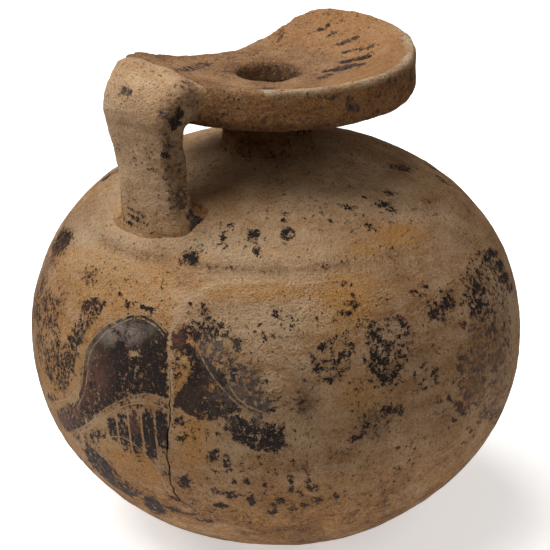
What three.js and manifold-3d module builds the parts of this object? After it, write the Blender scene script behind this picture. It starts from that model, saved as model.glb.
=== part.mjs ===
// Aryballos: a globular oil flask of fired clay with a broad dished mouth disc and one strap handle.
// Millimetres, +Z up. The origin lies on the body's axis, in the plane that the flask rests on.
// The handle stands on the -X side, and the disc has lost its +Y side.
// Each hand-made piece is a solid of its own: a luted join or a mend is a thin gap between two.
import * as THREE from 'three';
import { mergeVertices } from 'three/addons/utils/BufferGeometryUtils.js';
import Module from 'manifold-3d';

// Body: a thrown globe, hollow, flattened to a resting ring at the bottom
const BODY_RADIUS = 57.5;
const CENTRE_HEIGHT = 47.7; // from the resting plane up to the widest point
const SHOULDER_RISE = 47.0; // from the widest point up to where the shoulder would close
const BASE_FLATTENING = 1.9; // how much of the rounded bottom the resting plane takes off
const BODY_WALL = 4.5;
const SHOULDER_WALL = 5.0;
const FLOOR_WALL = 4.4;
const BASE_HOLLOW_DEPTH = 1.6;
const BASE_RING_WIDTH = 5.5;
const SHOULDER_FULLNESS = 2.15; // exponent of the curve, where 2 is a plain ellipse
const BELLY_FULLNESS = 2.04;

// Neck: a short collar, set a little off the body's axis towards the handle
const NECK_OFFSET = 2.3;
const BORE_RADIUS = 7.25;
const NECK_WALL = 4.05;
const NECK_WAIST = 0.6; // how far the collar draws in half-way up
const NECK_FOOT_FLARE = 0.6;
const SPIGOT_WALL = 2.1; // the collar's lower end, which stands in the body's opening
const LUTING_WIDTH = 2.0; // fillet of clay smoothed round the collar's foot
const LUTING_HEIGHT = 2.6;
const LUTING_LIP = 0.6;

// Mouth disc: flat below, dished above
const DISC_UNDERSIDE = 106.6; // height of the underside above the resting plane
const DISC_RADIUS = 33.6;
const DISC_EDGE = 10.8;
const DISH_DEPTH = 5.9;
const RIM_ROUNDING = 1.6;
const LOWER_ROUNDING = 2.8;
const MOUTH_ROUNDING = 1.0;
const RIM_RISE = 1.9; // how far the rim climbs where the handle joins it
const RISE_SPREAD = 22; // degrees round the rim over which most of that climb is lost again
const FAR_RISE = 1.7; // how far it climbs opposite the handle
const FAR_SPREAD = 44;

// The lost side of the disc: the break passes beside the bore, almost in line with the handle
const BREAK_DISTANCE = 16.0; // from the bore's axis to the break
const BREAK_X_SHARES = [1.2, 0.93, 0.87, 0.74, 0.51, 0.19, 0, -0.25, -0.49, -0.73, -1.2];
const BREAK_Y_SHARES = [0.36, 0.7, 0.85, 0.95, 1.0, 1.0, 1.1, 1.23, 1.36, 1.34, 1.25];

// Strap handle, from the shoulder up and over to the disc's rim
const HANDLE_STAND = 44.6; // from the body's axis to the strap's outer face at its waist
const HANDLE_THICKNESS = 7.2;
const HANDLE_BULGE = 2.8; // how far the outer face swells past the waist, below the bend
const HANDLE_CREST = 2.8; // height of the crest above the disc's level rim
const HANDLE_WIDTH = 21.4;
const HANDLE_WAIST = 2.0; // how far each side draws in at the waist
const HANDLE_FOOT_SPREAD = 1.6; // how far each side spreads at the foot
const HANDLE_FOOT_SET_IN = 2.2; // how far the outer face stands in at the foot
const HANDLE_FOOT_DEPTH = 2.4; // how far the inner face spreads at the foot
const HANDLE_EDGE_ROUNDING = 1.9;
const HANDLE_CORNER = 1.4; // fillet between the strap's inner face and its root at the disc
const HANDLE_ROOT_STEP = 2.2; // from the disc's underside up to the root's underside

// Pad of clay between the strap's foot and the shoulder
const PAD_HEIGHT = 1.6;
const PAD_MARGIN = 0.6; // how far the pad shows all round the strap's foot
const PAD_SQUARENESS = 4; // exponent of the pad's outline, where 2 is a plain ellipse

// Sherd of the front wall that broke out and was stuck back in
const SHERD_TURN = 223.5; // degrees round from +X to the side that the sherd looks to
const SHERD_WIDTH = 58.0;
const SHERD_HEIGHT = 60.0;
const SHERD_SHIFT = 5.0; // from the body's axis to the sherd's middle, seen from its own side
const SHERD_DROP = 1.0; // from the widest point down to the sherd's middle
const SHERD_OUTLINE_SHARES = [
  [-1, -0.4], [-0.975, 0.13], [-0.98, 0.58], [-0.86, 0.83], [-0.56, 0.98], [0, 1], [0.5, 0.95],
  [0.84, 0.78], [1, 0.3], [0.95, -0.28], [0.68, -0.77], [0.1, -1], [-0.6, -0.93], [-0.92, -0.76],
];

// Fit and fineness
const JOIN_GAP = 0.3;
const OVERRUN = 3.0; // how far a cutter or a cut piece runs past the cut
const BODY_SIDES = 60;
const BODY_STEPS = 12; // from the widest point to the top, and again to the base
const CHAMBER_SIDES = 40;
const CHAMBER_STEPS = 8;
const NECK_SIDES = 32;
const DISC_SIDES = 56;
const DISH_STEPS = 7;
const ROUNDING_STEPS = 3;
const PAD_SIDES = 32;
const STRAP_STEPS = 34;
const SHERD_STEPS = 52;

// Heights and radii that several pieces share
const bellyDrop = CENTRE_HEIGHT + BASE_FLATTENING;
const rimHeight = DISC_UNDERSIDE + DISC_EDGE;
const collarRadius = BORE_RADIUS + NECK_WALL;
const spigotRadius = BORE_RADIUS + SPIGOT_WALL;

const wasm = await Module();
wasm.setup();

// A closed geometry as a solid that can be joined and cut
function toSolid(geometry) {
  const bare = geometry.clone();
  bare.deleteAttribute('normal');
  bare.deleteAttribute('uv');
  const merged = mergeVertices(bare);
  const index = merged.index.array;
  const triangles = [];
  for (let i = 0; i < index.length; i += 3) {
    const [a, b, c] = [index[i], index[i + 1], index[i + 2]];
    if (a !== b && b !== c && c !== a) triangles.push(a, b, c);
  }
  return new wasm.Manifold(new wasm.Mesh({
    numProp: 3,
    vertProperties: new Float32Array(merged.attributes.position.array),
    triVerts: new Uint32Array(triangles),
  }));
}

// A solid as a named mesh of matt fired clay, in the colour that shows where its slip has worn off
function toMesh(name, solid, color, roughness) {
  const { vertProperties, triVerts, numProp } = solid.getMesh();
  const geometry = new THREE.BufferGeometry();
  geometry.setAttribute('position', new THREE.BufferAttribute(vertProperties, numProp));
  geometry.setIndex(new THREE.BufferAttribute(triVerts, 1));
  geometry.computeVertexNormals();
  const clay = new THREE.MeshStandardMaterial({ color, roughness, metalness: 0 });
  const mesh = new THREE.Mesh(geometry, clay);
  mesh.name = name;
  return mesh;
}

// A profile of [radius, height] points, listed anticlockwise, turned round the upright at x = axisX
function turned(profile, sides, axisX = 0, shape = (geometry) => geometry) {
  const points = profile.map(([radius, height]) => new THREE.Vector2(radius, height));
  const geometry = new THREE.LatheGeometry(points, sides);
  geometry.rotateX(Math.PI / 2);
  shape(geometry);
  geometry.translate(axisX, 0, 0);
  return toSolid(geometry);
}

function post(radius, low, high, sides, axisX) {
  return turned([[0, low], [radius, low], [radius, high], [0, high]], sides, axisX);
}

// One quarter of the body's curve, from the widest point to where it closes, as [radius, rise]
function curvePoint(turn, radius, rise, fullness) {
  return [radius * Math.cos(turn) ** (2 / fullness), rise * Math.sin(turn) ** (2 / fullness)];
}

function curveHeight(at, radius, rise, fullness) {
  return rise * (1 - (at / radius) ** fullness) ** (1 / fullness);
}

// Height of the body's outer surface at a distance from its axis
function shoulderHeight(at, clearance = 0) {
  const rise = curveHeight(at, BODY_RADIUS + clearance, SHOULDER_RISE + clearance, SHOULDER_FULLNESS);
  return CENTRE_HEIGHT + rise;
}

function curveProfile(radius, rise, drop, lowest, steps) {
  const points = [];
  const lastTurn = Math.asin((lowest / drop) ** (BELLY_FULLNESS / 2));
  for (let i = steps; i > 0; i -= 1) {
    const [r, h] = curvePoint(lastTurn * i / steps, radius, drop, BELLY_FULLNESS);
    points.push([r, CENTRE_HEIGHT - h]);
  }
  for (let i = 0; i < steps; i += 1) {
    const [r, h] = curvePoint(Math.PI / 2 * i / steps, radius, rise, SHOULDER_FULLNESS);
    points.push([r, CENTRE_HEIGHT + h]);
  }
  points.push([0, CENTRE_HEIGHT + rise]);
  return points;
}

// The body's outer form without its hollow, grown all round by a clearance
function bodyBlock(clearance = 0) {
  const [radius, rise, drop] = [BODY_RADIUS, SHOULDER_RISE, bellyDrop].map((size) => size + clearance);
  const profile = curveProfile(radius, rise, drop, CENTRE_HEIGHT, BODY_STEPS);
  const ringInner = profile[0][0] - BASE_RING_WIDTH;
  const hollow = [[0, BASE_HOLLOW_DEPTH], [ringInner / 2, BASE_HOLLOW_DEPTH * 0.8], [ringInner, 0]];
  return turned([...hollow, ...profile], BODY_SIDES);
}

// The oil chamber
function chamberBlock() {
  const drop = CENTRE_HEIGHT - BASE_HOLLOW_DEPTH - FLOOR_WALL;
  const [radius, rise] = [BODY_RADIUS - BODY_WALL, SHOULDER_RISE - SHOULDER_WALL];
  const profile = curveProfile(radius, rise, drop, drop, CHAMBER_STEPS);
  return turned([[0, CENTRE_HEIGHT - drop], ...profile.slice(1)], CHAMBER_SIDES);
}

function bodyWall() {
  const opening = post(spigotRadius + JOIN_GAP, CENTRE_HEIGHT, rimHeight, NECK_SIDES, -NECK_OFFSET);
  return bodyBlock().subtract(chamberBlock()).subtract(opening);
}

// A prism with the sherd's outline, from the body's axis out through the front wall
function sherdPrism(clearance) {
  const rough = SHERD_OUTLINE_SHARES.map(([across, up]) => new THREE.Vector3(
    SHERD_SHIFT + across * SHERD_WIDTH / 2,
    up * SHERD_HEIGHT / 2 - SHERD_DROP,
    0,
  ));
  const curve = new THREE.CatmullRomCurve3(rough, true);
  const points = curve.getPoints(SHERD_STEPS).slice(0, SHERD_STEPS);
  const outline = points.map((point, i) => {
    const before = points[(i + SHERD_STEPS - 1) % SHERD_STEPS];
    const after = points[(i + 1) % SHERD_STEPS];
    const along = new THREE.Vector2(after.x - before.x, after.y - before.y).normalize();
    return new THREE.Vector2(point.x - along.y * clearance, point.y + along.x * clearance);
  });
  const depth = BODY_RADIUS + OVERRUN;
  const prism = new THREE.ExtrudeGeometry(new THREE.Shape(outline), { depth, bevelEnabled: false });
  const turn = THREE.MathUtils.degToRad(SHERD_TURN);
  const facing = new THREE.Vector3(Math.cos(turn), Math.sin(turn), 0);
  const up = new THREE.Vector3(0, 0, 1);
  const across = new THREE.Vector3().crossVectors(up, facing);
  prism.applyMatrix4(new THREE.Matrix4().makeBasis(across, up, facing));
  prism.translate(0, 0, CENTRE_HEIGHT);
  return toSolid(prism);
}

// Radius of the collar's outside at a share of its height
function collarOutside(share) {
  const waist = NECK_WAIST * Math.sin(Math.PI * share);
  const flare = NECK_FOOT_FLARE * (1 - share) ** 4;
  return collarRadius - waist + flare;
}

function neckCollar() {
  const foot = shoulderHeight(collarRadius + NECK_OFFSET) - OVERRUN;
  const top = DISC_UNDERSIDE - JOIN_GAP;
  const profile = [[0, foot]];
  const steps = 2 * ROUNDING_STEPS;
  for (let i = 0; i <= steps; i += 1) {
    profile.push([collarOutside(i / steps), foot + (top - foot) * i / steps]);
  }
  profile.push([0, top]);
  const collar = turned(profile, NECK_SIDES, -NECK_OFFSET).subtract(bodyBlock(JOIN_GAP));
  const inside = CENTRE_HEIGHT + curveHeight(
    spigotRadius + NECK_OFFSET,
    BODY_RADIUS - BODY_WALL,
    SHOULDER_RISE - SHOULDER_WALL,
    SHOULDER_FULLNESS,
  );
  const spigot = post(spigotRadius, inside, DISC_UNDERSIDE - JOIN_GAP, NECK_SIDES, -NECK_OFFSET);
  const bore = post(BORE_RADIUS, inside - OVERRUN, top + OVERRUN, NECK_SIDES, -NECK_OFFSET);
  return collar.add(spigot).subtract(bore);
}

// Fillet of clay that was smoothed into the corner between the collar and the shoulder
function neckLuting() {
  const level = shoulderHeight(collarRadius + LUTING_WIDTH - NECK_OFFSET);
  const low = level - OVERRUN;
  const inner = collarRadius + NECK_FOOT_FLARE + JOIN_GAP;
  const outer = inner + LUTING_WIDTH;
  const profile = [[inner, low], [outer, low]];
  for (let i = 0; i <= ROUNDING_STEPS; i += 1) {
    const turn = Math.PI / 2 * i / ROUNDING_STEPS;
    const radius = outer - (LUTING_WIDTH - LUTING_LIP) * Math.sin(turn);
    profile.push([radius, level + LUTING_HEIGHT * (1 - Math.cos(turn))]);
  }
  profile.push([inner, level + LUTING_HEIGHT], [inner, low]);
  return turned(profile, NECK_SIDES, -NECK_OFFSET).subtract(bodyBlock(JOIN_GAP));
}

// Height of the dish at a distance from the bore's axis
function dishHeight(radius) {
  const share = (radius - BORE_RADIUS) / (DISC_RADIUS - BORE_RADIUS);
  return rimHeight - DISH_DEPTH * (1 - share ** 2);
}

function quarterRound(centreX, centreZ, radius, firstTurn) {
  const points = [];
  for (let i = 0; i <= ROUNDING_STEPS; i += 1) {
    const turn = firstTurn + Math.PI / 2 * i / ROUNDING_STEPS;
    points.push([centreX + radius * Math.cos(turn), centreZ + radius * Math.sin(turn)]);
  }
  return points;
}

// Lifts the top of the disc towards its rim by the handle and opposite it, and leaves the underside flat
function raiseRim(geometry) {
  const place = geometry.attributes.position;
  const [nearSpread, farSpread] = [RISE_SPREAD, FAR_SPREAD].map(THREE.MathUtils.degToRad);
  for (let i = 0; i < place.count; i += 1) {
    const [x, y, height] = [place.getX(i), place.getY(i), place.getZ(i)];
    const nearTurn = Math.atan2(y, -x) / nearSpread;
    const farTurn = Math.atan2(y, x) / farSpread;
    const share = Math.hypot(x, y) / DISC_RADIUS;
    const climb = RIM_RISE * Math.exp(-(nearTurn ** 2)) + FAR_RISE * Math.exp(-(farTurn ** 2));
    const lift = climb * share ** 2;
    place.setZ(i, height + lift * Math.max(height - DISC_UNDERSIDE, 0) / DISC_EDGE);
  }
}

// The whole disc, grown all round by a clearance; the bore is left out of the grown one
function wholeDisc(clearance = 0) {
  const rim = DISC_RADIUS + clearance;
  const low = DISC_UNDERSIDE - clearance;
  const topEdge = DISC_RADIUS - RIM_ROUNDING;
  const lowEdge = DISC_RADIUS - LOWER_ROUNDING;
  const outside = [
    ...quarterRound(lowEdge, DISC_UNDERSIDE + LOWER_ROUNDING, rim - lowEdge, -Math.PI / 2),
    ...quarterRound(topEdge, dishHeight(topEdge) - RIM_ROUNDING, rim - topEdge, 0),
  ];
  const dish = [];
  const lip = BORE_RADIUS + MOUTH_ROUNDING;
  for (let i = 1; i <= DISH_STEPS; i += 1) {
    const radius = topEdge + (lip - topEdge) * i / DISH_STEPS;
    dish.push([radius, dishHeight(radius) + clearance]);
  }
  if (clearance > 0) {
    const closed = [[0, low], ...outside, ...dish, [0, dishHeight(lip) + clearance]];
    return turned(closed, DISC_SIDES, -NECK_OFFSET, raiseRim);
  }
  const mouth = [[BORE_RADIUS, dishHeight(lip) - MOUTH_ROUNDING], [BORE_RADIUS, low]];
  return turned([[BORE_RADIUS, low], ...outside, ...dish, ...mouth], DISC_SIDES, -NECK_OFFSET, raiseRim);
}

// What the disc has lost: all that lies past a wavering line beside the bore
function lostSide() {
  const line = BREAK_X_SHARES.map((share, i) => new THREE.Vector2(
    share * DISC_RADIUS,
    BREAK_Y_SHARES[i] * BREAK_DISTANCE,
  ));
  const far = DISC_RADIUS + OVERRUN;
  const outline = new THREE.Shape(line.slice(0, 1));
  outline.splineThru(line.slice(1));
  outline.lineTo(line.at(-1).x, far);
  outline.lineTo(line[0].x, far);
  const depth = DISC_EDGE + RIM_RISE + FAR_RISE + 2 * OVERRUN;
  const prism = new THREE.ExtrudeGeometry(outline, { depth, bevelEnabled: false, curveSegments: 3 });
  prism.translate(-NECK_OFFSET, 0, DISC_UNDERSIDE - OVERRUN);
  return toSolid(prism);
}

function mouthDisc() {
  return wholeDisc().subtract(lostSide());
}

// Side outline of the strap, as [distance from the body's axis, height]
function strapOutline() {
  const foot = shoulderHeight(HANDLE_STAND);
  const waist = foot + 0.6 * (DISC_UNDERSIDE - foot);
  const rimX = NECK_OFFSET + DISC_RADIUS;
  const inner = HANDLE_STAND - HANDLE_THICKNESS;
  const rootLow = DISC_UNDERSIDE + HANDLE_ROOT_STEP;
  const swell = (share) => HANDLE_STAND + share * HANDLE_BULGE;
  const outerFace = [
    [HANDLE_STAND - HANDLE_FOOT_SET_IN, foot],
    [HANDLE_STAND - 0.3 * HANDLE_FOOT_SET_IN, (foot + waist) / 2],
    [HANDLE_STAND, waist],
    [swell(0.7), DISC_UNDERSIDE],
    [swell(1), DISC_UNDERSIDE + 0.43 * DISC_EDGE],
    [swell(0.3), rimHeight + 0.15 * HANDLE_CREST],
    [swell(-0.9), rimHeight + 0.9 * HANDLE_CREST],
    [(swell(1) + rimX) / 2 - RIM_ROUNDING, rimHeight + HANDLE_CREST],
    [rimX, rimHeight + 0.5 * (HANDLE_CREST + RIM_RISE)],
    [rimX - OVERRUN, rimHeight + 0.6 * RIM_RISE],
  ];
  const innerFace = [
    [inner + HANDLE_BULGE - HANDLE_CORNER, rootLow],
    [inner + HANDLE_BULGE, rootLow - HANDLE_CORNER],
    [inner, waist],
    [inner - 0.5 * HANDLE_FOOT_DEPTH, (foot + waist) / 2],
    [inner - HANDLE_FOOT_DEPTH, foot],
  ];
  const insideDisc = [outerFace.at(-1)[0], rootLow];
  const insideBody = [[innerFace.at(-1)[0], foot - OVERRUN], [outerFace[0][0], foot - OVERRUN]];
  return { outerFace, innerFace, insideDisc, insideBody, foot };
}

function smooth(points, steps) {
  const curve = new THREE.SplineCurve(points.map(([x, y]) => new THREE.Vector2(x, y)));
  return curve.getSpacedPoints(steps);
}

function strapHandle() {
  const { outerFace, innerFace, insideDisc, insideBody, foot } = strapOutline();
  const outline = [
    ...smooth(outerFace, STRAP_STEPS),
    new THREE.Vector2(...insideDisc),
    ...smooth(innerFace, STRAP_STEPS / 2),
    ...insideBody.map(([out, height]) => new THREE.Vector2(out, height)),
  ];
  const bevel = HANDLE_EDGE_ROUNDING;
  const strap = new THREE.ExtrudeGeometry(new THREE.Shape(outline), {
    depth: HANDLE_WIDTH - 2 * bevel,
    bevelThickness: bevel,
    bevelSize: bevel,
    bevelOffset: -bevel,
    bevelSegments: 2,
    steps: 1,
  });
  strap.translate(0, 0, bevel - HANDLE_WIDTH / 2);
  const place = strap.attributes.position;
  for (let i = 0; i < place.count; i += 1) {
    const [out, height, across] = [place.getX(i), place.getY(i), place.getZ(i)];
    const rise = THREE.MathUtils.clamp((height - foot) / (DISC_UNDERSIDE - foot), 0, 1);
    const drawIn = HANDLE_WAIST * Math.sin(Math.PI * rise);
    const spread = HANDLE_FOOT_SPREAD * (1 - rise) ** 3;
    const halfWidth = HANDLE_WIDTH / 2 - drawIn + spread;
    place.setXYZ(i, -out, across * halfWidth / (HANDLE_WIDTH / 2), height);
  }
  return toSolid(strap).subtract(wholeDisc(JOIN_GAP)).subtract(bodyBlock(PAD_HEIGHT + JOIN_GAP));
}

// A layer of clay on the slope of the shoulder, a little wider all round than the strap's foot
function handlePad() {
  const depth = HANDLE_THICKNESS + HANDLE_FOOT_DEPTH - HANDLE_FOOT_SET_IN;
  const halfLength = depth / 2 + PAD_MARGIN;
  const halfWidth = HANDLE_WIDTH / 2 + HANDLE_FOOT_SPREAD + PAD_MARGIN;
  const outline = [];
  for (let i = 0; i < PAD_SIDES; i += 1) {
    const turn = 2 * Math.PI * i / PAD_SIDES;
    const [out, across] = [Math.cos(turn), Math.sin(turn)].map(
      (share) => Math.sign(share) * Math.abs(share) ** (2 / PAD_SQUARENESS),
    );
    outline.push(new THREE.Vector2(out * halfLength, across * halfWidth));
  }
  const prism = new THREE.ExtrudeGeometry(new THREE.Shape(outline), {
    depth: rimHeight,
    bevelEnabled: false,
  });
  prism.translate(depth / 2 + HANDLE_FOOT_SET_IN - HANDLE_STAND, 0, 0);
  const layer = bodyBlock(PAD_HEIGHT).subtract(bodyBlock(JOIN_GAP));
  const upperSide = post(BODY_RADIUS + OVERRUN, CENTRE_HEIGHT, rimHeight, NECK_SIDES, 0);
  return toSolid(prism).intersect(layer).intersect(upperSide);
}

const aryballos = new THREE.Group();
aryballos.add(
  toMesh('body_shell', bodyWall().subtract(sherdPrism(JOIN_GAP)), 0xa98a68, 0.88),
  toMesh('rejoined_sherd', bodyWall().intersect(sherdPrism(0)), 0xb1926c, 0.86),
  toMesh('neck_collar', neckCollar(), 0x8e6f50, 0.9),
  toMesh('neck_luting', neckLuting(), 0x977858, 0.9),
  toMesh('mouth_disc', mouthDisc(), 0xa08060, 0.88),
  toMesh('strap_handle', strapHandle(), 0xb79a76, 0.86),
  toMesh('handle_pad', handlePad(), 0xae8a5c, 0.88),
);

export default aryballos;
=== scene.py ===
"""Aryballos: a hollow globe of fired clay with a short neck, a mouth disc and a strap handle.

A sherd of its front was broken out and stuck back, and the disc has lost one side.
Blender's metres and +Z up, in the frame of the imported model. The classes give their sizes in millimetres.
The handle stands on the -X side. Places on the globe are an azimuth and a latitude in degrees: azimuth 0
looks to the camera, and grows to the camera's right.
"""
import logging
import math
import random
from dataclasses import dataclass
from enum import Enum

import bpy
import numpy as np
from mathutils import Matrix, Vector, noise


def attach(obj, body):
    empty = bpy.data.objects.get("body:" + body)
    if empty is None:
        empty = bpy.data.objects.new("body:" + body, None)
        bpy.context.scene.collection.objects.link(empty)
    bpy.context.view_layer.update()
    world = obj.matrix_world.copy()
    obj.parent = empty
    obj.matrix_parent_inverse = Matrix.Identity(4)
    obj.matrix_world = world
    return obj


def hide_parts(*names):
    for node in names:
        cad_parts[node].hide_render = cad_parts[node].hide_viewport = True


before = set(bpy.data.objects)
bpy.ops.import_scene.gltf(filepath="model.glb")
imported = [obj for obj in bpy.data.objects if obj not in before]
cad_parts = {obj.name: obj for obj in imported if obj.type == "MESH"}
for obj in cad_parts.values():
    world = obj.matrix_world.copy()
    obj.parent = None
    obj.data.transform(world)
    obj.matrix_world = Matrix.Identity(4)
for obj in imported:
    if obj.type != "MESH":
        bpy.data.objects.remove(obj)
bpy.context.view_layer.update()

MM = 0.001
FRONT = 223.5  # degrees round from +X to the side that looks to the camera
log = logging.getLogger("aryballos")

Point = tuple[float, float]
Place = tuple[float, float, float]
Piece = bpy.types.Object
Socket = bpy.types.NodeSocket


class Kind(Enum):
    """What a boolean cut does with the cutter."""

    CUT = "DIFFERENCE"
    KEEP = "INTERSECT"


class Clay(Enum):
    """The record's material slots."""

    PAINTED = "painted_clay"
    PLAIN = "plain_clay"
    HANDLE = "handle_clay"


# Modelling by hand: small moves that every piece is made with


def leave_all() -> None:
    """Go to object mode with nothing selected."""
    if bpy.context.object and bpy.context.object.mode != "OBJECT":
        bpy.ops.object.mode_set(mode="OBJECT")
    bpy.ops.object.select_all(action="DESELECT")


def take(piece: Piece) -> None:
    """Make a piece the only selected and active one."""
    leave_all()
    piece.select_set(True)
    bpy.context.view_layer.objects.active = piece


def open_mesh(piece: Piece) -> None:
    """Enter edit mode on a piece."""
    take(piece)
    bpy.ops.object.mode_set(mode="EDIT")


def close_mesh() -> None:
    """Leave edit mode."""
    bpy.ops.object.mode_set(mode="OBJECT")


def split_faces(piece: Piece) -> None:
    """Split every face of a piece into triangles."""
    open_mesh(piece)
    bpy.ops.mesh.select_all(action="SELECT")
    bpy.ops.mesh.quads_convert_to_tris()
    close_mesh()


def finish_modifier(piece: Piece, kind: str, **settings: object) -> None:
    """Add a modifier and apply it.

    Args:
        piece: the piece that gets it.
        kind: the modifier's type.
        **settings: values for its properties.
    """
    take(piece)
    modifier = piece.modifiers.new(kind.lower(), kind)
    for name, value in settings.items():
        setattr(modifier, name, value)
    bpy.ops.object.modifier_apply(modifier=modifier.name)


def melt(piece: Piece, grain: float) -> None:
    """Turn a piece into one even skin, whose faces are about a grain of so many millimetres."""
    finish_modifier(piece, "REMESH", mode="VOXEL", voxel_size=grain * MM)


def cut_with(piece: Piece, cutter: Piece, kind: Kind, keep_cutter: bool = False) -> None:
    """Cut a piece with a solid cutter, or keep only what lies in it.

    Args:
        piece: the piece to cut.
        cutter: a closed solid.
        kind: whether the cutter's inside is taken away or kept.
        keep_cutter: leave the cutter for another cut.
    """
    finish_modifier(piece, "BOOLEAN", operation=kind.value, object=cutter, solver="EXACT")
    if not keep_cutter:
        bpy.data.objects.remove(cutter)


def copy_of(piece: Piece, name: str) -> Piece:
    """Copy a piece with a mesh of its own."""
    take(piece)
    bpy.ops.object.duplicate()
    twin = bpy.context.object
    twin.name = name
    return twin


def draw_chain(name: str, points: list[Place], closed: bool = False) -> Piece:
    """Draw a chain of edges by extruding one vertex from point to point.

    Args:
        name: the new object's name.
        points: places in millimetres.
        closed: join the last point to the first and fill the outline.

    Returns:
        The object, left in edit mode with all of it selected.
    """
    leave_all()
    bpy.ops.mesh.primitive_plane_add(size=MM)
    piece = bpy.context.object
    piece.name = name
    bpy.ops.object.mode_set(mode="EDIT")
    bpy.ops.mesh.select_all(action="SELECT")
    bpy.ops.mesh.merge(type="CENTER")
    bpy.ops.transform.translate(value=Vector(points[0]) * MM)
    for before, after in zip(points, points[1:]):
        step = (Vector(after) - Vector(before)) * MM
        bpy.ops.mesh.extrude_region_move(TRANSFORM_OT_translate={"value": step})
    bpy.ops.mesh.select_all(action="SELECT")
    if closed:
        bpy.ops.mesh.edge_face_add()
    return piece


def turn(name: str, profile: list[Point], sides: int, axis_x: float = 0.0) -> Piece:
    """Throw a closed piece on the wheel: spin a profile round an upright axis.

    Args:
        name: the new object's name.
        profile: [radius, height] points in millimetres that start and end on the axis, or close on
            themselves.
        sides: faces round the piece.
        axis_x: where the axis stands, in millimetres along X.

    Returns:
        The finished solid.
    """
    piece = draw_chain(name, [(radius + axis_x, 0.0, height) for radius, height in profile])
    bpy.ops.mesh.spin(steps=sides, angle=2 * math.pi, center=(axis_x * MM, 0, 0), axis=(0, 0, 1))
    bpy.ops.mesh.select_all(action="SELECT")
    bpy.ops.mesh.remove_doubles(threshold=0.002 * MM)
    bpy.ops.mesh.normals_make_consistent(inside=False)
    close_mesh()
    return piece


def raise_prism(name: str, outline: list[Place], depth: Vector) -> Piece:
    """Fill a closed outline and extrude it.

    Args:
        name: the new object's name.
        outline: places in millimetres.
        depth: how far and which way it is extruded, in millimetres.

    Returns:
        The finished solid.
    """
    piece = draw_chain(name, outline, closed=True)
    bpy.ops.mesh.extrude_region_move(TRANSFORM_OT_translate={"value": depth * MM})
    bpy.ops.mesh.select_all(action="SELECT")
    bpy.ops.mesh.normals_make_consistent(inside=False)
    close_mesh()
    return piece


def upright_rod(radius: float, length: float, x: float, z: float, sides: int) -> Piece:
    """Return an upright round rod, with its middle at x and z, in millimetres."""
    leave_all()
    bpy.ops.mesh.primitive_cylinder_add(
        vertices=sides, radius=radius * MM, depth=length * MM, location=(x * MM, 0, z * MM),
    )
    return bpy.context.object


def roughen(piece: Piece, *grains: tuple[float, float], group: str = "") -> None:
    """Displace a surface with noise, once for each size of grain.

    Args:
        piece: the piece to roughen.
        *grains: the noise's size, and its depth from the lowest to the highest, in millimetres.
        group: vertex group that limits it, or nothing.
    """
    for grain, depth in grains:
        grit = bpy.data.textures.new(f"grit_{grain}", "CLOUDS")
        grit.noise_scale = grain * MM
        finish_modifier(
            piece, "DISPLACE", texture=grit, texture_coords="LOCAL", strength=depth * MM, mid_level=0.5,
            vertex_group=group,
        )


def rub(piece: Piece, times: int, group: str = "") -> None:
    """Smooth a piece so many times, where a vertex group lets it."""
    finish_modifier(piece, "SMOOTH", factor=0.5, iterations=times, vertex_group=group)


def vertex_places(piece: Piece) -> np.ndarray:
    """Return a piece's vertices in millimetres, one row each."""
    spots = np.empty(len(piece.data.vertices) * 3)
    piece.data.vertices.foreach_get("co", spots)
    return spots.reshape(-1, 3) / MM


def put_back(piece: Piece, spots: np.ndarray) -> None:
    """Move a piece's vertices to places in millimetres."""
    piece.data.vertices.foreach_set("co", (spots * MM).ravel())


def give(piece: Piece, name: str, values: np.ndarray) -> None:
    """Store one number for each vertex, which the finish reads by its name."""
    layer = piece.data.attributes.new(name, "FLOAT", "POINT")
    layer.data.foreach_set("value", values.astype(np.float32))


def weigh(piece: Piece, name: str, values: np.ndarray) -> None:
    """Store a vertex group, in ten steps of weight."""
    group = piece.vertex_groups.new(name=name)
    steps = np.round(np.clip(values, 0, 1) * 10).astype(int)
    for step in range(1, 11):
        group.add(np.flatnonzero(steps == step).tolist(), step / 10, "REPLACE")


def settle(piece: Piece, *nodes: str, slot: Clay) -> None:
    """Shade a finished piece, and set it in the frame in the place of its CAD nodes."""
    take(piece)
    bpy.ops.object.shade_smooth_by_angle(angle=math.radians(38))
    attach(piece, "root")
    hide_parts(*nodes)


def soft_step(value: np.ndarray | float, low: float, high: float) -> np.ndarray | float:
    """Return 0 below low and 1 above high, with a smooth rise between."""
    share = np.clip((value - low) / (high - low), 0, 1)
    return share * share * (3 - 2 * share)


def bend(a: Point, b: Point, c: Point, d: Point, steps: int) -> list[Point]:
    """Return points from b towards c, on the Catmull-Rom curve through the four."""
    a, b, c, d = (np.array(point) for point in (a, b, c, d))
    result = []
    for t in np.linspace(0, 1, steps, endpoint=False):
        spot = b * 2 + (c - a) * t + (a * 2 - b * 5 + c * 4 - d) * t**2 + (b * 3 - a - c * 3 + d) * t**3
        result.append(tuple(spot / 2))
    return result


def smooth_loop(points: list[Point], steps: int) -> list[Point]:
    """Return a smooth closed curve through the points."""
    count, result = len(points), []
    for i in range(count):
        result += bend(*(points[(i + k) % count] for k in (-1, 0, 1, 2)), steps)
    return result


def smooth_line(points: list[Point], steps: int) -> list[Point]:
    """Return a smooth open curve through the points."""
    ends, result = [points[0], *points, points[-1]], []
    for four in zip(ends, ends[1:], ends[2:], ends[3:]):
        result += bend(*four, steps)
    return [*result, points[-1]]


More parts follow.
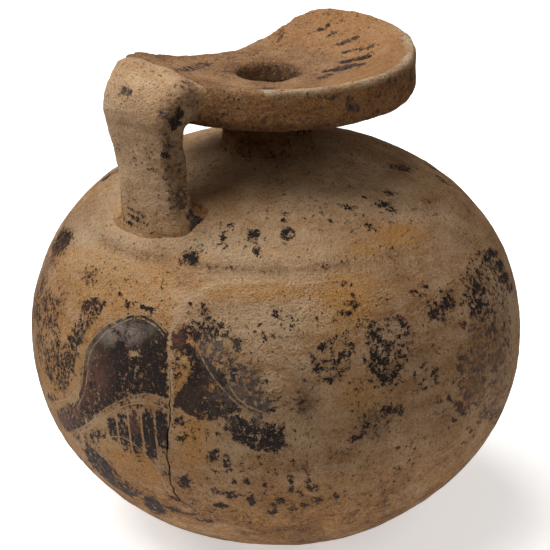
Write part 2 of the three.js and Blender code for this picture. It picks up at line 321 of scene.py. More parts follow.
def from_loop(spots: np.ndarray, loop: np.ndarray) -> np.ndarray:
    """Return each flat spot's distance from a closed line, less than zero inside it."""
    near, inside = np.full(len(spots), 99.0), np.zeros(len(spots), dtype=bool)
    for start, stop in zip(loop, np.roll(loop, -1, axis=0)):
        way, away = stop - start, spots - start
        crosses = (start[1] > spots[:, 1]) != (stop[1] > spots[:, 1])
        inside ^= crosses & (away[:, 0] < away[:, 1] * way[0] / (way[1] or 1.0))
        away -= np.clip(away @ way / (way @ way), 0, 1)[:, None] * way
        near = np.minimum(near, np.hypot(*away.T))
    return np.where(inside, -near, near)


def bearing(x: np.ndarray, y: np.ndarray) -> np.ndarray:
    """Return how far round each place is from the side that looks to the camera, in degrees."""
    return (np.degrees(np.arctan2(y, x)) - FRONT + 180) % 360 - 180


def toward(azimuth: float, height: float) -> Vector:
    """Return the way to a place that is so many degrees round from +X and above the level."""
    turned, up = math.radians(azimuth), math.radians(height)
    return Vector((math.cos(turned) * math.cos(up), math.sin(turned) * math.cos(up), math.sin(up)))


# Finishes


def linear(colour: str) -> tuple[float, float, float, float]:
    """Turn an sRGB hex colour into linear light."""
    shares = [int(colour[i:i + 2], 16) / 255 for i in (1, 3, 5)]
    light = [v / 12.92 if v <= 0.04045 else ((v + 0.055) / 1.055) ** 2.4 for v in shares]
    return (*light, 1.0)


def add(tree: bpy.types.NodeTree, kind: str, links: dict | None = None, **settings: object) -> bpy.types.Node:
    """Add a shader node.

    Args:
        tree: the material's node tree.
        kind: the node's type after ShaderNode.
        links: values or output sockets for its inputs, by name or number.
        **settings: values for its properties.

    Returns:
        The node.
    """
    node = tree.nodes.new("ShaderNode" + kind)
    for name, value in settings.items():
        setattr(node, name, value)
    for name, value in (links or {}).items():
        if isinstance(value, Socket):
            tree.links.new(value, node.inputs[name])
        else:
            node.inputs[name].default_value = value
    return node


@dataclass(frozen=True)
class WornSlip:
    """Matt fired earthenware, thrown and burnished, with the remains of a dark iron-rich slip.

    The clay is a streaked and mottled tan with grit and pits. The slip sits on it in ragged crumbs, slightly
    smoother than the clay, brown-black to purple, with pale and rusty flecks where it is thin.
    """

    name: str
    pale: str = "#b89a79"
    deep: str = "#8a623a"
    # The ochre and stain colours also serve as painted shade, and the deposit colour as a painted highlight
    ochre_and_shade: str = "#aa783a"
    stain_and_shade: str = "#573722"
    slip: str = "#1b1513"
    purple: str = "#5c3c30"
    bloom: str = "#85776e"
    rust: str = "#7a502b"
    scratch: str = "#a98e69"
    deposit_and_highlight: str = "#b6a386"
    patch_size: float = 34.0
    mottle_size: float = 6.5
    streak_size: float = 11.0
    flake_size: float = 1.15
    grain_size: float = 0.36
    crumb_size: float = 0.9
    pit_size: float = 1.7
    relief: float = 0.42
    incisions: int = 0

    def material(self) -> bpy.types.Material:
        """Build the finish.

        Returns:
            A material that reads the vertex values slip, bars, bar_count, purple, bloom, ochre, stain,
            deposit and line_0 onwards.
        """
        made = bpy.data.materials.new(self.name)
        made.use_nodes = True
        tree = made.node_tree
        tree.nodes.clear()
        place = add(tree, "TexCoord").outputs["Object"]

        def grain(size: float, detail: float = 4.0, rough: float = 0.55, warp: float = 0.0,
                  where: Socket = place) -> Socket:
            """Noise of a real size in millimetres."""
            links = {"Vector": where, "Scale": 1 / (size * MM), "Detail": detail, "Roughness": rough}
            links["Distortion"] = warp
            return add(tree, "TexNoise", links).outputs["Fac"]

        def sum_of(*terms: tuple[object, float], start: float = 0.0) -> Socket:
            """Sum of values, each times its weight."""
            total = start
            for value, weight in terms:
                links = {0: value, 1: weight, 2: total}
                total = add(tree, "Math", links, operation="MULTIPLY_ADD").outputs[0]
            return total

        def span(value: Socket, low: float, high: float, top: float = 1.0) -> Socket:
            """Smooth rise from nothing at low to top at high."""
            links = {"Value": value, "From Min": low, "From Max": high, "To Max": top}
            return add(tree, "MapRange", links, interpolation_type="SMOOTHSTEP").outputs["Result"]

        def blend(share: Socket, below: Socket | str, above: Socket | str) -> Socket:
            """Colour between two colours, each made before or given in hex."""
            below, above = (linear(c) if isinstance(c, str) else c for c in (below, above))
            links = {0: share, 6: below, 7: above}
            return add(tree, "Mix", links, data_type="RGBA", clamp_factor=True).outputs[2]

        def both(first: object, second: object, operation: str = "MULTIPLY") -> Socket:
            """Two values put together."""
            return add(tree, "Math", {0: first, 1: second}, operation=operation, use_clamp=True).outputs[0]

        def held(name: str) -> Socket:
            """A number that the piece holds for each vertex."""
            return add(tree, "Attribute", attribute_name=name).outputs["Fac"]

        patches = grain(self.patch_size, 3.0)
        mottle = grain(self.mottle_size, 5.0, 0.62, 0.4)
        flakes = grain(self.flake_size, 6.0, 0.7, 0.25)
        fine = grain(self.grain_size, 3.0, 0.62)
        crumbs = grain(self.crumb_size, 4.0, 0.66)
        blotch = grain(self.mottle_size * 1.5, 6.0, 0.7, 0.5)
        level = add(tree, "Mapping", {"Vector": place, "Scale": (1.0, 1.0, 5.0)}).outputs[0]
        streaks = grain(self.streak_size, 5.0, 0.66, 0.0, level)

        # Clay: pale and deep patches, level streaks, a finer mottle, ochre and brown stains that also lay
        # painted shade, a pale deposit that also lays a painted highlight, pits and grit
        shade = sum_of((patches, 1.0), (mottle, 0.8), (streaks, 0.7), (crumbs, 0.9), (fine, 0.6))
        colour = blend(span(shade, 1.66, 2.34), self.pale, self.deep)
        warm = span(sum_of((blotch, 1.0), (mottle, 0.6), (streaks, 0.4)), 0.66, 1.1, 0.95)
        colour = blend(both(held("ochre_and_shade"), warm), colour, self.ochre_and_shade)
        brown = both(held("stain_and_shade"), span(sum_of((blotch, 0.7), (flakes, 0.5)), 0.38, 0.76, 0.9))
        colour = blend(brown, colour, self.stain_and_shade)
        crust_and_highlight = both(held("deposit_and_highlight"), span(sum_of((mottle, 0.7), (flakes, 0.6)), 0.5, 0.78, 0.85))
        colour = blend(crust_and_highlight, colour, self.deposit_and_highlight)
        cells = add(tree, "TexVoronoi", {"Vector": place, "Scale": 1 / (self.pit_size * MM)}, feature="F1")
        pits = both(span(cells.outputs["Distance"], 0.26, 0.1), span(flakes, 0.5, 0.6))
        colour = blend(both(pits, 0.7), colour, self.stain_and_shade)
        colour = blend(span(fine, 0.52, 0.66, 0.5), colour, self.deposit_and_highlight)
        colour = blend(span(crumbs, 0.46, 0.28, 0.6), colour, self.stain_and_shade)
        colour = blend(span(fine, 0.48, 0.32, 0.6), colour, self.stain_and_shade)

        # Slip: what is left of it, with the bars of the painted strip, crumbled at every edge
        fold = add(tree, "Math", {0: held("bar_count"), 1: 1.0}, operation="PINGPONG").outputs[0]
        bars = both(held("bars"), span(fold, 0.9, 0.8))
        cover = both(held("slip"), bars, "MAXIMUM")
        left = sum_of((cover, 2.9), (flakes, 9.0), (blotch, 5.0), (fine, 5.0), (crumbs, 4.0), start=-12.9)
        worn = both(span(left, 0.34, 0.66), span(cover, 0.02, 0.12))
        thin = both(both(span(left, -0.7, 0.5), span(cover, 0.2, 0.6)), 0.5)
        colour = blend(thin, colour, self.purple)
        violet = both(held("purple"), span(sum_of((blotch, 0.6), (crumbs, 0.4)), 0.42, 0.54))
        tone = blend(violet, self.slip, self.purple)
        rubbed = sum_of((flakes, 0.7), (fine, 0.7))
        tone = blend(span(rubbed, 0.72, 0.5, 0.5), tone, self.rust)
        frost = both(held("bloom"), span(sum_of((mottle, 0.9), (crumbs, 0.6), (fine, 0.3)), 0.8, 1.02, 0.9))
        tone = blend(frost, tone, self.bloom)
        colour = blend(worn, colour, tone)

        # Lines that were incised through the slip into the clay
        height = sum_of((fine, 0.8), (crumbs, 1.4), (flakes, 0.8), (mottle, 0.9), (pits, -0.8), (worn, 0.14))
        if self.incisions:
            lines = 0.0
            for i in range(self.incisions):
                beside = {0: held(f"line_{i}"), 1: 0.0, 2: 0.2}
                near = add(tree, "Math", beside, operation="COMPARE").outputs[0]
                lines = both(near, lines, "MAXIMUM")
            colour = blend(both(lines, span(flakes, 0.4, 0.56, 0.8)), colour, self.scratch)
            height = sum_of((height, 1.0), (lines, -0.5))
        roughness = add(
            tree, "MapRange", {"Value": worn, "From Min": 0.0, "From Max": 1.0, "To Min": 0.9, "To Max": 0.72}
        ).outputs["Result"]
        bump = add(tree, "Bump", {"Strength": 1.0, "Distance": self.relief * MM, "Height": height})
        shader = add(
            tree, "BsdfPrincipled",
            {"Base Color": colour, "Roughness": roughness, "Normal": bump.outputs["Normal"], "IOR": 1.5,
             "Specular IOR Level": 0.2},
        )
        add(tree, "OutputMaterial", {"Surface": shader.outputs["BSDF"]})
        return made


# Paint: where the slip was laid, and how much of it is left


@dataclass(frozen=True)
class Mark:
    """One patch of slip, stain or bloom on the globe, in degrees. A degree is about a millimetre."""

    azimuth: float
    latitude: float
    wide: float
    tall: float
    cover: float = 0.8
    tilt: float = 0.0


@dataclass(frozen=True)
class Area:
    """A painted field of the globe, with its outline in [azimuth, latitude] points."""

    cover: float
    outline: list[Point]


@dataclass(frozen=True)
class Stroke:
    """One brush stroke or spot on the disc or the handle, in millimetres in the model's frame."""

    start: Place
    stop: Place
    wide: float
    cover: float

    def on(self, spots: np.ndarray) -> np.ndarray:
        """Return how much of the stroke lies on each vertex, from 0 to 1."""
        start, way = np.array(self.start), np.array(self.stop) - np.array(self.start)
        along = np.clip((spots - start) @ way / max(way @ way, 1e-6), 0, 1)
        far = np.linalg.norm(spots - start - along[:, None] * way, axis=1)
        return self.cover * soft_step(far / (self.wide / 2), 1.9, 0.5)


def on_ball(azimuth: np.ndarray, latitude: np.ndarray) -> np.ndarray:
    """Return unit vectors for places that are given in degrees."""
    turned, up = np.radians(azimuth), np.radians(latitude)
    return np.stack([np.cos(up) * np.cos(turned), np.cos(up) * np.sin(turned), np.sin(up)], axis=-1)


@dataclass(frozen=True)
class Chart:
    """The globe's surface as a map: degrees of azimuth and latitude for every vertex."""

    azimuth: np.ndarray
    latitude: np.ndarray

    def cover(self, marks: list[Mark]) -> np.ndarray:
        """Return how much of the marks lies on each vertex, from 0 to 1."""
        total = np.zeros(len(self.azimuth))
        for mark in marks:
            across = (self.azimuth - mark.azimuth + 180) % 360 - 180
            across = across * np.cos(np.radians(self.latitude))
            up = self.latitude - mark.latitude
            lean = math.radians(mark.tilt)
            along = across * math.cos(lean) + up * math.sin(lean)
            over = up * math.cos(lean) - across * math.sin(lean)
            far = np.hypot(along / (mark.wide / 2), over / (mark.tall / 2))
            total = np.maximum(total, mark.cover * soft_step(far, 1.75, 0.3))
        return total

    def fill(self, areas: list[Area]) -> np.ndarray:
        """Return how much of the fields lies on each vertex, from 0 to 1, with an edge a degree wide."""
        total, spots = np.zeros(len(self.azimuth)), np.stack([self.azimuth * 0.9, self.latitude], axis=1)
        for area in areas:
            near = from_loop(spots, np.array(area.outline) * (0.9, 1))
            total = np.maximum(total, area.cover * soft_step(-near, -0.9, 0.5))
        return total

    def beside(self, line: list[Point]) -> np.ndarray:
        """Return the signed distance to a line of [azimuth, latitude] points, in degrees: 9 past its ends."""
        spots = on_ball(self.azimuth, self.latitude)
        best = np.full(len(spots), 9.0)
        side = np.ones(len(spots))
        points = on_ball(*np.array(line).T)
        for i, (a, b) in enumerate(zip(points, points[1:])):
            along = (spots - a) @ (b - a) / ((b - a) @ (b - a))
            inside = (along >= (0 if i == 0 else -0.5)) & (along <= (1 if i == len(points) - 2 else 1.5))
            away = spots - (a + np.clip(along, 0, 1)[:, None] * (b - a))
            far = np.where(inside, np.degrees(np.linalg.norm(away, axis=1)), 9.0)
            side = np.where(far < best, np.sign(spots @ np.cross(a, b)), side)
            best = np.minimum(best, far)
        return best * side


def as_marks(*rows: tuple[float, ...]) -> list[Mark]:
    """Return a mark for each row of azimuth, latitude, width, height, cover and tilt."""
    return [Mark(*row) for row in rows]


def as_strokes(*rows: tuple[Place, Place, float, float]) -> list[Stroke]:
    """Return a stroke for each row of start, stop, width and cover."""
    return [Stroke(*row) for row in rows]


SHOULDER_TONGUES = as_marks(
    (-17.7, 46.1, 2, 6.5, 0.62, 16), (-15.9, 49.5, 2, 2.5, 0.8, 32), (-7.3, 47, 3.1, 4, 0.9, 12),
    (-5.8, 43.6, 2, 2.9, 0.86, 7), (-3.6, 46.8, 0.9, 1.9, 0.75, 4), (2.9, 51.4, 1.8, 1.6, 0.78, 4),
    (4.1, 48.1, 3.4, 4, 1, -8), (3.2, 53.8, 2.1, 1.6, 0.62, 2), (18, 52.9, 1.4, 2.3, 0.6, -25),
    (19.7, 50.3, 1.4, 2.5, 0.6, -24), (30.2, 53.2, 4, 1.8, 0.8, -20), (31.4, 51.3, 1.1, 1.9, 0.6, -43),
    (40.7, 54.4, 3.5, 1.4, 0.74, -9), (45.1, 51.7, 4, 2, 0.9, -6), (53.3, 53.9, 4.6, 1.8, 0.74, -27),
    (81.1, 56.2, 7, 3.2, 0.8, -40), (33.9, 47.2, 2.3, 3.6, 0.58, -44), (33.7, 50.1, 2.3, 1.5, 0.5, 36),
    (47.3, 49.4, 2.9, 1.4, 0.6, -8), (36.6, 40.8, 2.9, 1.8, 0.55, -4), (-26.4, 41.4, 2.4, 1.3, 0.5, 6),
    (-22.3, 42.7, 1.1, 1.6, 0.5, 27), (-47, 33, 2.4, 1.3, 0.5, 11), (-41.4, 37.1, 2.2, 1, 0.4, 11),
    (65.5, 48.5, 3.3, 2, 0.5, -30), (38.3, 58.8, 2.4, 1.3, 0.5, 8), (15.8, 57.9, 1.8, 1.4, 0.45, 15),
    (-3.1, 52.7, 1.4, 1.1, 0.5, -2), (50.2, 45.4, 2.6, 1.5, 0.45, 3), (63.8, 44.3, 3.6, 1.6, 0.5, -8),
)
BAND_REMAINS = as_marks(
    (-13.1, 38.6, 5.8, 1.3, 0.62, 5), (-18.2, 38.1, 2.7, 1, 0.5, 6), (13.3, 39.6, 4, 1.5, 0.6, -5),
    (19.6, 39.6, 2.3, 1, 0.55, -6), (-3.9, 38, 4.4, 0.8, 0.4, 1), (-27.1, 36, 5.8, 1, 0.4, 10),
)
FIELDS = [
    Area(0.97, [(-51.8, -7.1), (-50.3, -0.7), (-49.5, 4.6), (-48.6, 9.8), (-46.7, 14.7), (-44.5, 17.8),
        (-41.3, 20.5), (-37.5, 22.5), (-34.1, 23.5), (-31.2, 23.4), (-28.4, 22.1), (-26.2, 20.5),
        (-24.7, 3.4), (-26.7, 3.9), (-29.8, 3.5), (-33, 2.4), (-36.9, 0), (-40.6, -2.8), (-44.8, -6.6),
        (-49, -10.2)]),
    Area(0.84, [(-51.4, -5.2), (-48.8, -9.5), (-53.7, -14.9), (-63.2, -19.2), (-65.3, -14.4), (-56.6, -7.8)]),
    Area(0.99, [(-23.7, 4.4), (-21.3, 6.5), (-20, 9.8), (-19.1, 14.1), (-16.4, 16), (-14.1, 13.7),
        (-11.7, 11.9), (-9.8, 8.9), (-8.4, 5.3), (-8, 2.1), (-11.1, 1), (-13.8, -0.6), (-17, -0.8),
        (-19.8, 0.5), (-23.2, 2.1)]),
    Area(0.84, [(-25.1, 20.4), (-22.7, 20), (-20.2, 18.1), (-16.8, 16), (-14.1, 14.2), (-15.9, 12.5),
        (-19.3, 13.6), (-22, 16.3), (-24.4, 17.4)]),
    Area(0.66, [(-21.2, 25), (-17.2, 23.8), (-12.7, 20.4), (-8.2, 15.2), (-3.1, 9.5), (-0.2, 3.4),
        (-3.1, 0.7), (-7.1, 2.7), (-9.8, 8.9), (-14.1, 14.2), (-18.3, 18.6), (-21.7, 21.9)]),
    Area(0.84, [(-11.1, -0.9), (-6.8, 0.5), (-3.1, 0.1), (1.3, -2.1), (1.8, -7.3), (-0.9, -9.1), (-5.8, -8),
        (-9.4, -5.9)]),
    Area(0.7, [(-53.3, 22.4), (-49.5, 24.6), (-45.9, 21.9), (-48.5, 17.1), (-51.4, 10.8), (-54.2, 7.9),
        (-56.3, 9.9), (-54.6, 16)]),
    Area(0.6, [(-60.6, 7.2), (-55.4, 10.2), (-52.5, 7.4), (-52.9, 1.1), (-57.8, -4.8), (-61.7, -4.1)]),
    Area(0.9, [(-51.9, -18.4), (-49, -19.9), (-46, -22.5), (-43, -25.3), (-39.9, -28.4), (-38.4, -31.7),
        (-44.4, -35.8), (-49.3, -34.5), (-53.3, -31.7), (-55.6, -27.6), (-56.6, -23.3)]),
    Area(0.9, [(-39.3, -33.9), (-34.5, -30.5), (-33.1, -34.6), (-34.7, -40.1), (-41, -43.3), (-41.6, -40.1)]),
    Area(0.55, [(-37.5, -0.5), (-24.7, 2.6), (-24.7, -0.1), (-37.6, -2.8)]),
    Area(0.5, [(64.6, 32.3), (73.6, 29.6), (76.4, 23.1), (73.7, 14.9), (71.2, 3.2), (76.6, -14),
        (70.6, -20.8), (49.3, -8.2), (44.9, 2), (50, 11.3), (53.3, 22.4), (55, 28.8)]),
    Area(0.52, [(21.7, 23.2), (27.3, 24.9), (34, 21), (33.9, 14.5), (29.3, 6.3), (22.6, 7.1), (19.9, 14.5)]),
    Area(0.48, [(7.3, 17.8), (11.5, 21.3), (17.8, 22.4), (17.4, 13.6), (13.2, 9.6), (8.1, 12.1)]),
    Area(0.46, [(39.5, 26.3), (49, 26.4), (49.5, 21.4), (42.4, 19.7), (38.5, 21.8)]),
    Area(0.46, [(32.1, 9.1), (36, 11.3), (40.7, 7.9), (38.6, 2.5), (33.5, 3.9)]),
    Area(0.5, [(-79.4, 12.6), (-74.2, 19), (-64.1, 18.6), (-58.1, 7), (-64.1, -4.5), (-72.7, -3.3)]),
]
OVAL = [
    Area(1, [(-45.2, -14.7), (-41.2, -12), (-37.3, -11), (-34.1, -12.5), (-31.2, -15.5), (-28.9, -20.4),
        (-28.3, -25.9), (-32.1, -26.7), (-36.5, -25.9), (-40.9, -23.7), (-44.4, -20.4), (-45.8, -17.6)]),
]
LEFT_GROUND = [
    Area(1, [(-77.6, 28.1), (-56.3, 38.4), (-32.8, 37.7), (-22.8, 32), (-26.3, 21.2), (-32, 24.3),
        (-39.2, 22.9), (-44.7, 18.5), (-48.6, 11.7), (-51.4, -0.3), (-61.3, -10.1), (-76.3, -9.3),
        (-77.9, 7.4)]),
]
FIGURE = as_marks(
    (-22.7, 19.8, 3.3, 7.1, 0.8, -11), (-19, 22.3, 3.2, 4, 0.74, 6), (-17.7, 27, 2.1, 5.5, 0.86, 26),
    (-22, 28.7, 1.9, 1.5, 0.9, 4), (-9.3, 19.4, 2.6, 4, 0.62, 2), (-5.8, 9.1, 7.9, 11.5, 0.6, -1),
    (-3.1, 3.7, 2.4, 4.9, 0.9), (-9.7, 0.3, 4.5, 2.2, 0.78, 6), (-7.8, -3.5, 7.6, 3.7, 0.9, -17),
    (-1.3, -6.7, 8, 3.5, 0.94, -11), (-4.6, 0.1, 3.5, 2.5, 0.84, 4), (0.2, -2.1, 3.5, 3.4, 0.84, -3),
    (-32.9, 25.4, 4.4, 1.1, 1, -2), (-42.6, 27.1, 1.5, 1.2, 0.95, -6), (-48.9, 20.2, 4, 4.6, 0.78, 30),
    (-52.4, 11.8, 6.5, 2.3, 0.9, 20), (-22.4, 11.5, 3.6, 14, 0.6, -5), (-25.8, 40.1, 4.5, 4, 0.95),
    (-38.4, 25.2, 4.4, 2.5, 0.55, 12), (-46.7, 24.4, 6.9, 3.6, 0.5, 14), (-14.2, 21.8, 7.7, 7.5, 0.66, 21),
    (-25.2, 5.8, 2.4, 2.8, 0.8, -28),
)
FAR_LEFT = as_marks(
    (-81.2, 29.5, 13.6, 6.9, 0.82, 24), (-86.3, 31.3, 8.3, 1.6, 0.6, 20), (-77.5, 15.9, 6.1, 6.8, 0.62, -39),
    (-56.3, 28.6, 8.3, 5.5, 0.5, 3), (-66.2, 10.8, 7.2, 5.7, 0.62, 24), (-54.1, 7.6, 6.7, 3.1, 0.64, 23),
    (-56.3, 1.5, 3, 9, 0.6, -31), (-67.3, 3.4, 4.5, 8.6, 0.5, -24), (-59.9, -5.6, 8.7, 2.7, 0.55, 20),
    (-74, 9.7, 4.4, 7.9, 0.6, 15), (-66.1, -10.1, 11.2, 2.2, 0.6, 22), (-54.2, 21.8, 3.7, 2.3, 0.5, 14),
    (-75.6, 25.2, 8.5, 2.3, 0.4, 14),
)
MIDDLE = as_marks(
    (-4.3, 24.4, 1.3, 1.7, 0.74, 2), (-3.3, 22, 2.4, 1.3, 0.74, 1), (-0.5, 21.7, 1.7, 1.3, 0.76),
    (0, 27.2, 2, 1.5, 0.62), (-5.4, 22.9, 1.3, 1.2, 0.66, 3), (17.2, 34.4, 5.5, 1.3, 0.5, -7),
    (19.8, 31.1, 2.1, 2, 0.66, 21), (19.8, 28.5, 2.8, 2.5, 0.76, 1), (17.1, 26.6, 3.2, 2, 0.74, -6),
    (14.4, 25.3, 1.8, 1.5, 0.64, -5), (23.1, 23.8, 1.4, 1.5, 0.8, -12), (20.6, 24.6, 0.9, 1.5, 0.74, -9),
    (28.5, 29, 1.5, 1.3, 0.82, -1), (26.4, 29.6, 1.2, 1, 0.66, -2), (30.2, 23.8, 4, 2, 0.86, -12),
    (31.7, 22, 2.8, 2, 0.9, -12), (27.7, 22.8, 1.2, 1.3, 0.9, -14), (29.5, 25.5, 2.2, 1, 0.7, -11),
    (36.8, 29.2, 1.6, 1.3, 0.9, -3), (38.5, 28.6, 0.8, 1, 0.85, -32), (41.4, 29.5, 1.8, 1.5, 0.88, 11),
    (45.5, 27.1, 1.6, 1.3, 0.88, 1), (45, 28.9, 2.1, 0.8, 0.7, -15), (49, 26.4, 2.3, 1.3, 0.6, -13),
    (46.4, 23.9, 3.5, 2.8, 1, -6), (44, 23.3, 1.6, 1.5, 0.72, 31), (40.6, 22.3, 1.7, 3.1, 0.92, -19),
    (40, 25.1, 0.9, 0.8, 0.8, 1), (10.6, 18.6, 4.4, 3, 0.74, -6), (16, 20.1, 1.8, 2.3, 0.84, -3),
    (17.3, 18, 2.7, 3, 0.92, 5), (14.7, 16.5, 2.7, 2, 0.96, -9), (13.3, 15.6, 1.3, 1.5, 0.8, 6),
    (9.9, 13.6, 4, 2.6, 0.84, -6), (8.2, 15.5, 2.2, 1.5, 0.66, -5), (14.7, 12.6, 1.9, 1.8, 0.8, -44),
    (12.3, 14.6, 1.3, 2, 0.7, -1), (23, 20, 3.8, 2.3, 0.74, -10), (25.3, 18.6, 3.4, 2, 0.86, -12),
    (27.8, 17.3, 3.5, 2.5, 0.96, -15), (26.5, 15.8, 3, 1.5, 0.8, -12), (29.9, 13.8, 4.2, 1.8, 0.95, -14),
    (31.7, 15, 2.1, 1.5, 0.8, -18), (22.4, 15.4, 2.9, 2.5, 0.86, -22), (25.2, 13.2, 3.5, 2.5, 0.95, -17),
    (29.1, 11.1, 2.6, 2, 0.88, -24), (23, 11.5, 2.8, 3.2, 0.92, 22), (25.4, 8.9, 4.1, 3.1, 1, -22),
    (21.9, 9, 1.9, 2.2, 0.8, 22), (27.7, 9.5, 2.6, 2, 0.74, -25), (31.6, 18.9, 3.4, 2, 0.74, -14),
    (33.3, 17.5, 1.6, 2, 0.66, -5), (33.6, 5.8, 2.3, 1.5, 0.86, -25), (35.5, 3.9, 2.9, 1.3, 0.8, -19),
    (38.2, 6.5, 2.3, 3.8, 0.92, 5), (35, 6.8, 1.1, 1.6, 0.7, 7), (12.1, 9.8, 1.3, 2.4, 0.88),
    (26.2, 0.1, 4.7, 2.7, 0.82, -19), (29, -1.4, 2.2, 1.6, 0.66, -31), (24.7, -1.5, 1.6, 1.3, 0.74, -41),
    (18.1, -6.4, 3.4, 1.7, 0.88, -14), (20, -5.2, 2, 1.4, 0.74, -23), (16.3, -7, 0.9, 1.2, 0.74, 17),
    (26.9, -9.3, 2.6, 1, 0.84, 10), (29.3, -11.8, 1.3, 2, 0.95, 43), (36.4, -10.7, 2.2, 1.3, 0.7, -41),
    (39.5, -13, 2.6, 1.1, 0.62, -29), (20.9, -3.4, 3.5, 1.7, 0.62, -14), (30.2, -18.6, 3.3, 1.8, 0.6, -36),
    (3.9, -12.3, 1.3, 2.6, 0.8, 2), (7.5, -17.8, 2.2, 4.9, 0.88, 4), (8.9, -21.5, 3.4, 2.8, 0.86, -38),
    (5.8, -22.4, 1.8, 4.7, 0.74, 4), (10.5, -26.4, 3.3, 2.1, 0.8, -17), (13.1, -22, 1.3, 2.4, 0.72, 13),
    (14.9, -25, 1.8, 2.7, 0.92, 24), (17, -23.4, 1.3, 2.1, 0.62, 22), (3.6, -21.5, 2.2, 5.3, 0.78, 2),
    (1.5, -25.8, 3.6, 3.3, 0.74, -15), (-1, -31.1, 3.1, 2.4, 0.86, 3), (4.1, -29.4, 3.6, 2.3, 0.74, -8),
    (7.4, -28.2, 2.5, 2.1, 0.74, -44), (-9.2, -28.4, 1.7, 2.3, 0.6, -22), (-6.9, -32.9, 1.9, 2.2, 0.6, -42),
)
RIGHT_STRIP = as_marks(
    (64.4, 27.1, 6.4, 4.1, 0.76, 9), (77, 27.4, 7.9, 2.8, 0.98, -14), (70.5, 28.1, 5.7, 2.1, 0.88, -16),
    (77.5, 23.6, 7.8, 3.3, 0.94, -7), (77, 20, 8.7, 3.5, 0.95, -14), (78.4, 16.5, 7.2, 2.6, 0.8, -17),
    (59.2, 24.9, 5.6, 3.4, 0.86, 43), (62.1, 22.2, 5.1, 2.3, 0.8, -17), (57.8, 19.8, 4.2, 3.3, 0.86, -7),
    (56.5, 16.4, 3.3, 1.5, 0.66, -19), (49.9, 16.7, 1.8, 3.1, 0.9, -17), (59.9, 12.5, 6.8, 6.2, 0.66, -34),
    (62.6, 9.2, 4.3, 5.3, 0.74, 3), (47.1, 11.7, 1.3, 1.6, 0.8, 11), (47.7, 8.5, 4.4, 2.6, 0.92, -25),
    (50.4, 9.5, 4.2, 1.5, 0.84, -21), (46.4, 6.2, 2.4, 3.1, 0.88, 40), (51.8, 3.8, 5.8, 1.3, 0.9, -21),
    (62.4, 4.8, 4.8, 2.1, 0.88, -26), (64.6, 1.3, 5.6, 2.1, 0.8, -27), (60.7, 1, 5.9, 1.6, 0.74, -24),
    (44.6, 2.9, 1.9, 2.9, 0.8, 15), (47.6, 0.8, 4.7, 2.6, 0.66, -29), (59.5, -3.4, 3.1, 5.6, 0.74, 42),
    (42.7, -1, 1.7, 2.5, 0.88, 29), (45.9, -4.3, 5.1, 3.2, 0.82, -43), (48.5, -2.1, 4.9, 1.9, 0.76, -24),
    (48, -7.1, 3.7, 2, 0.8, -39), (45, -8.1, 2.5, 1.3, 0.88, -35), (52.5, -14.1, 5.9, 2.1, 0.66, -34),
    (58.4, -11.9, 11.2, 3.2, 0.58, -30), (55.5, -12.8, 4, 1.5, 0.72, -36), (65.8, 13, 6, 3.6, 0.6, -20),
    (57, 8.8, 5.5, 2.3, 0.55, -23), (54.3, -5.1, 5.1, 2.8, 0.5, -44), (40.6, 12.2, 3.7, 2.3, 0.4, -21),
    (51.7, -18, 4.9, 1.6, 0.6, -35),
)
LOWER_MARKS = as_marks(
    (-14.4, -11, 2.1, 4.7, 0.95, -25), (-11.2, -13.1, 1.4, 6.2, 0.96, -3), (-7.5, -13.4, 1.3, 4.9, 0.82, -2),
    (-22.6, -21.2, 3.4, 6.2, 0.86, -22), (-14.3, -23.7, 2.7, 3.6, 0.9, -39),
    (-11, -24.1, 3.2, 4.2, 0.96, -26), (-14.2, -29.2, 3.7, 2, 0.98, 19), (-6.2, -26, 1.9, 6, 0.9, 5),
    (-2.6, -20.8, 1.1, 5.6, 0.85, -1), (-22, -2.2, 2.2, 2.8, 0.8, -35), (-21.8, -7.3, 2.8, 1.7, 0.8, 20),
    (-18.4, -7, 1.2, 3.3, 0.7, -5), (-19.7, -16.7, 1.2, 2.2, 0.66, -14), (-9.9, -19.1, 1.6, 2.2, 0.72, -14),
    (-7, -18.5, 1.6, 3.2, 0.78, -5), (-4, -10.4, 1.5, 1.9, 0.7, -7), (-3.2, -12.9, 1.1, 1.6, 0.7, -3),
    (-0.5, -28.8, 1.3, 5.4, 0.78), (-15.3, -4.5, 1.1, 1.5, 0.7, -15), (-13, -4.5, 2.1, 1.1, 0.66, 10),
    (-18.6, -22.2, 1.2, 1.8, 0.6, -38), (-35.3, -27.9, 3.6, 1.5, 0.7, 44), (3.3, -18.2, 1.8, 5, 0.86, 2),
    (5.8, -22.8, 1.6, 3.9, 0.74, 4), (6.7, -15, 1.3, 2, 0.6, 7), (-31.6, -14.7, 2.3, 3.2, 0.62, -36),
    (-28.6, -16.1, 2.8, 2.7, 0.55, -8), (-30, -11, 2.7, 1.7, 0.6, 33), (-27.2, -19.9, 2.8, 1.6, 0.72, 34),
)
SLANTED_BARS = as_marks(
    (-48.7, -14.5, 1.8, 5.8, 0.82, -16), (-52.1, -17.2, 1.9, 6.2, 0.85, -15),
    (-46.2, -13.5, 1.7, 5.5, 0.8, -17), (-43.9, -12.7, 1.5, 4.5, 0.85, -19), (-56.3, -20, 2, 6.3, 0.7, -20),
    (-41.3, -11.1, 1.9, 3.4, 0.62, -43),
)
LOWER_BAND = as_marks(
    (-29.8, -35.4, 6.1, 2.6, 0.8, -15), (-24.5, -35.6, 4, 1.8, 0.7, 8), (-44, -33, 9, 1.6, 0.72, -24),
    (-38, -37, 9, 1.6, 0.7, -20), (-52, -27, 9, 1.8, 0.72, -30), (-57, -18, 5.5, 3.7, 0.6, 17),
    (-21, -39, 5.9, 1.8, 0.6, 8), (-60.7, -28.9, 11, 5.2, 0.6, 22), (-28, -29.5, 5, 2, 0.66, -14),
)
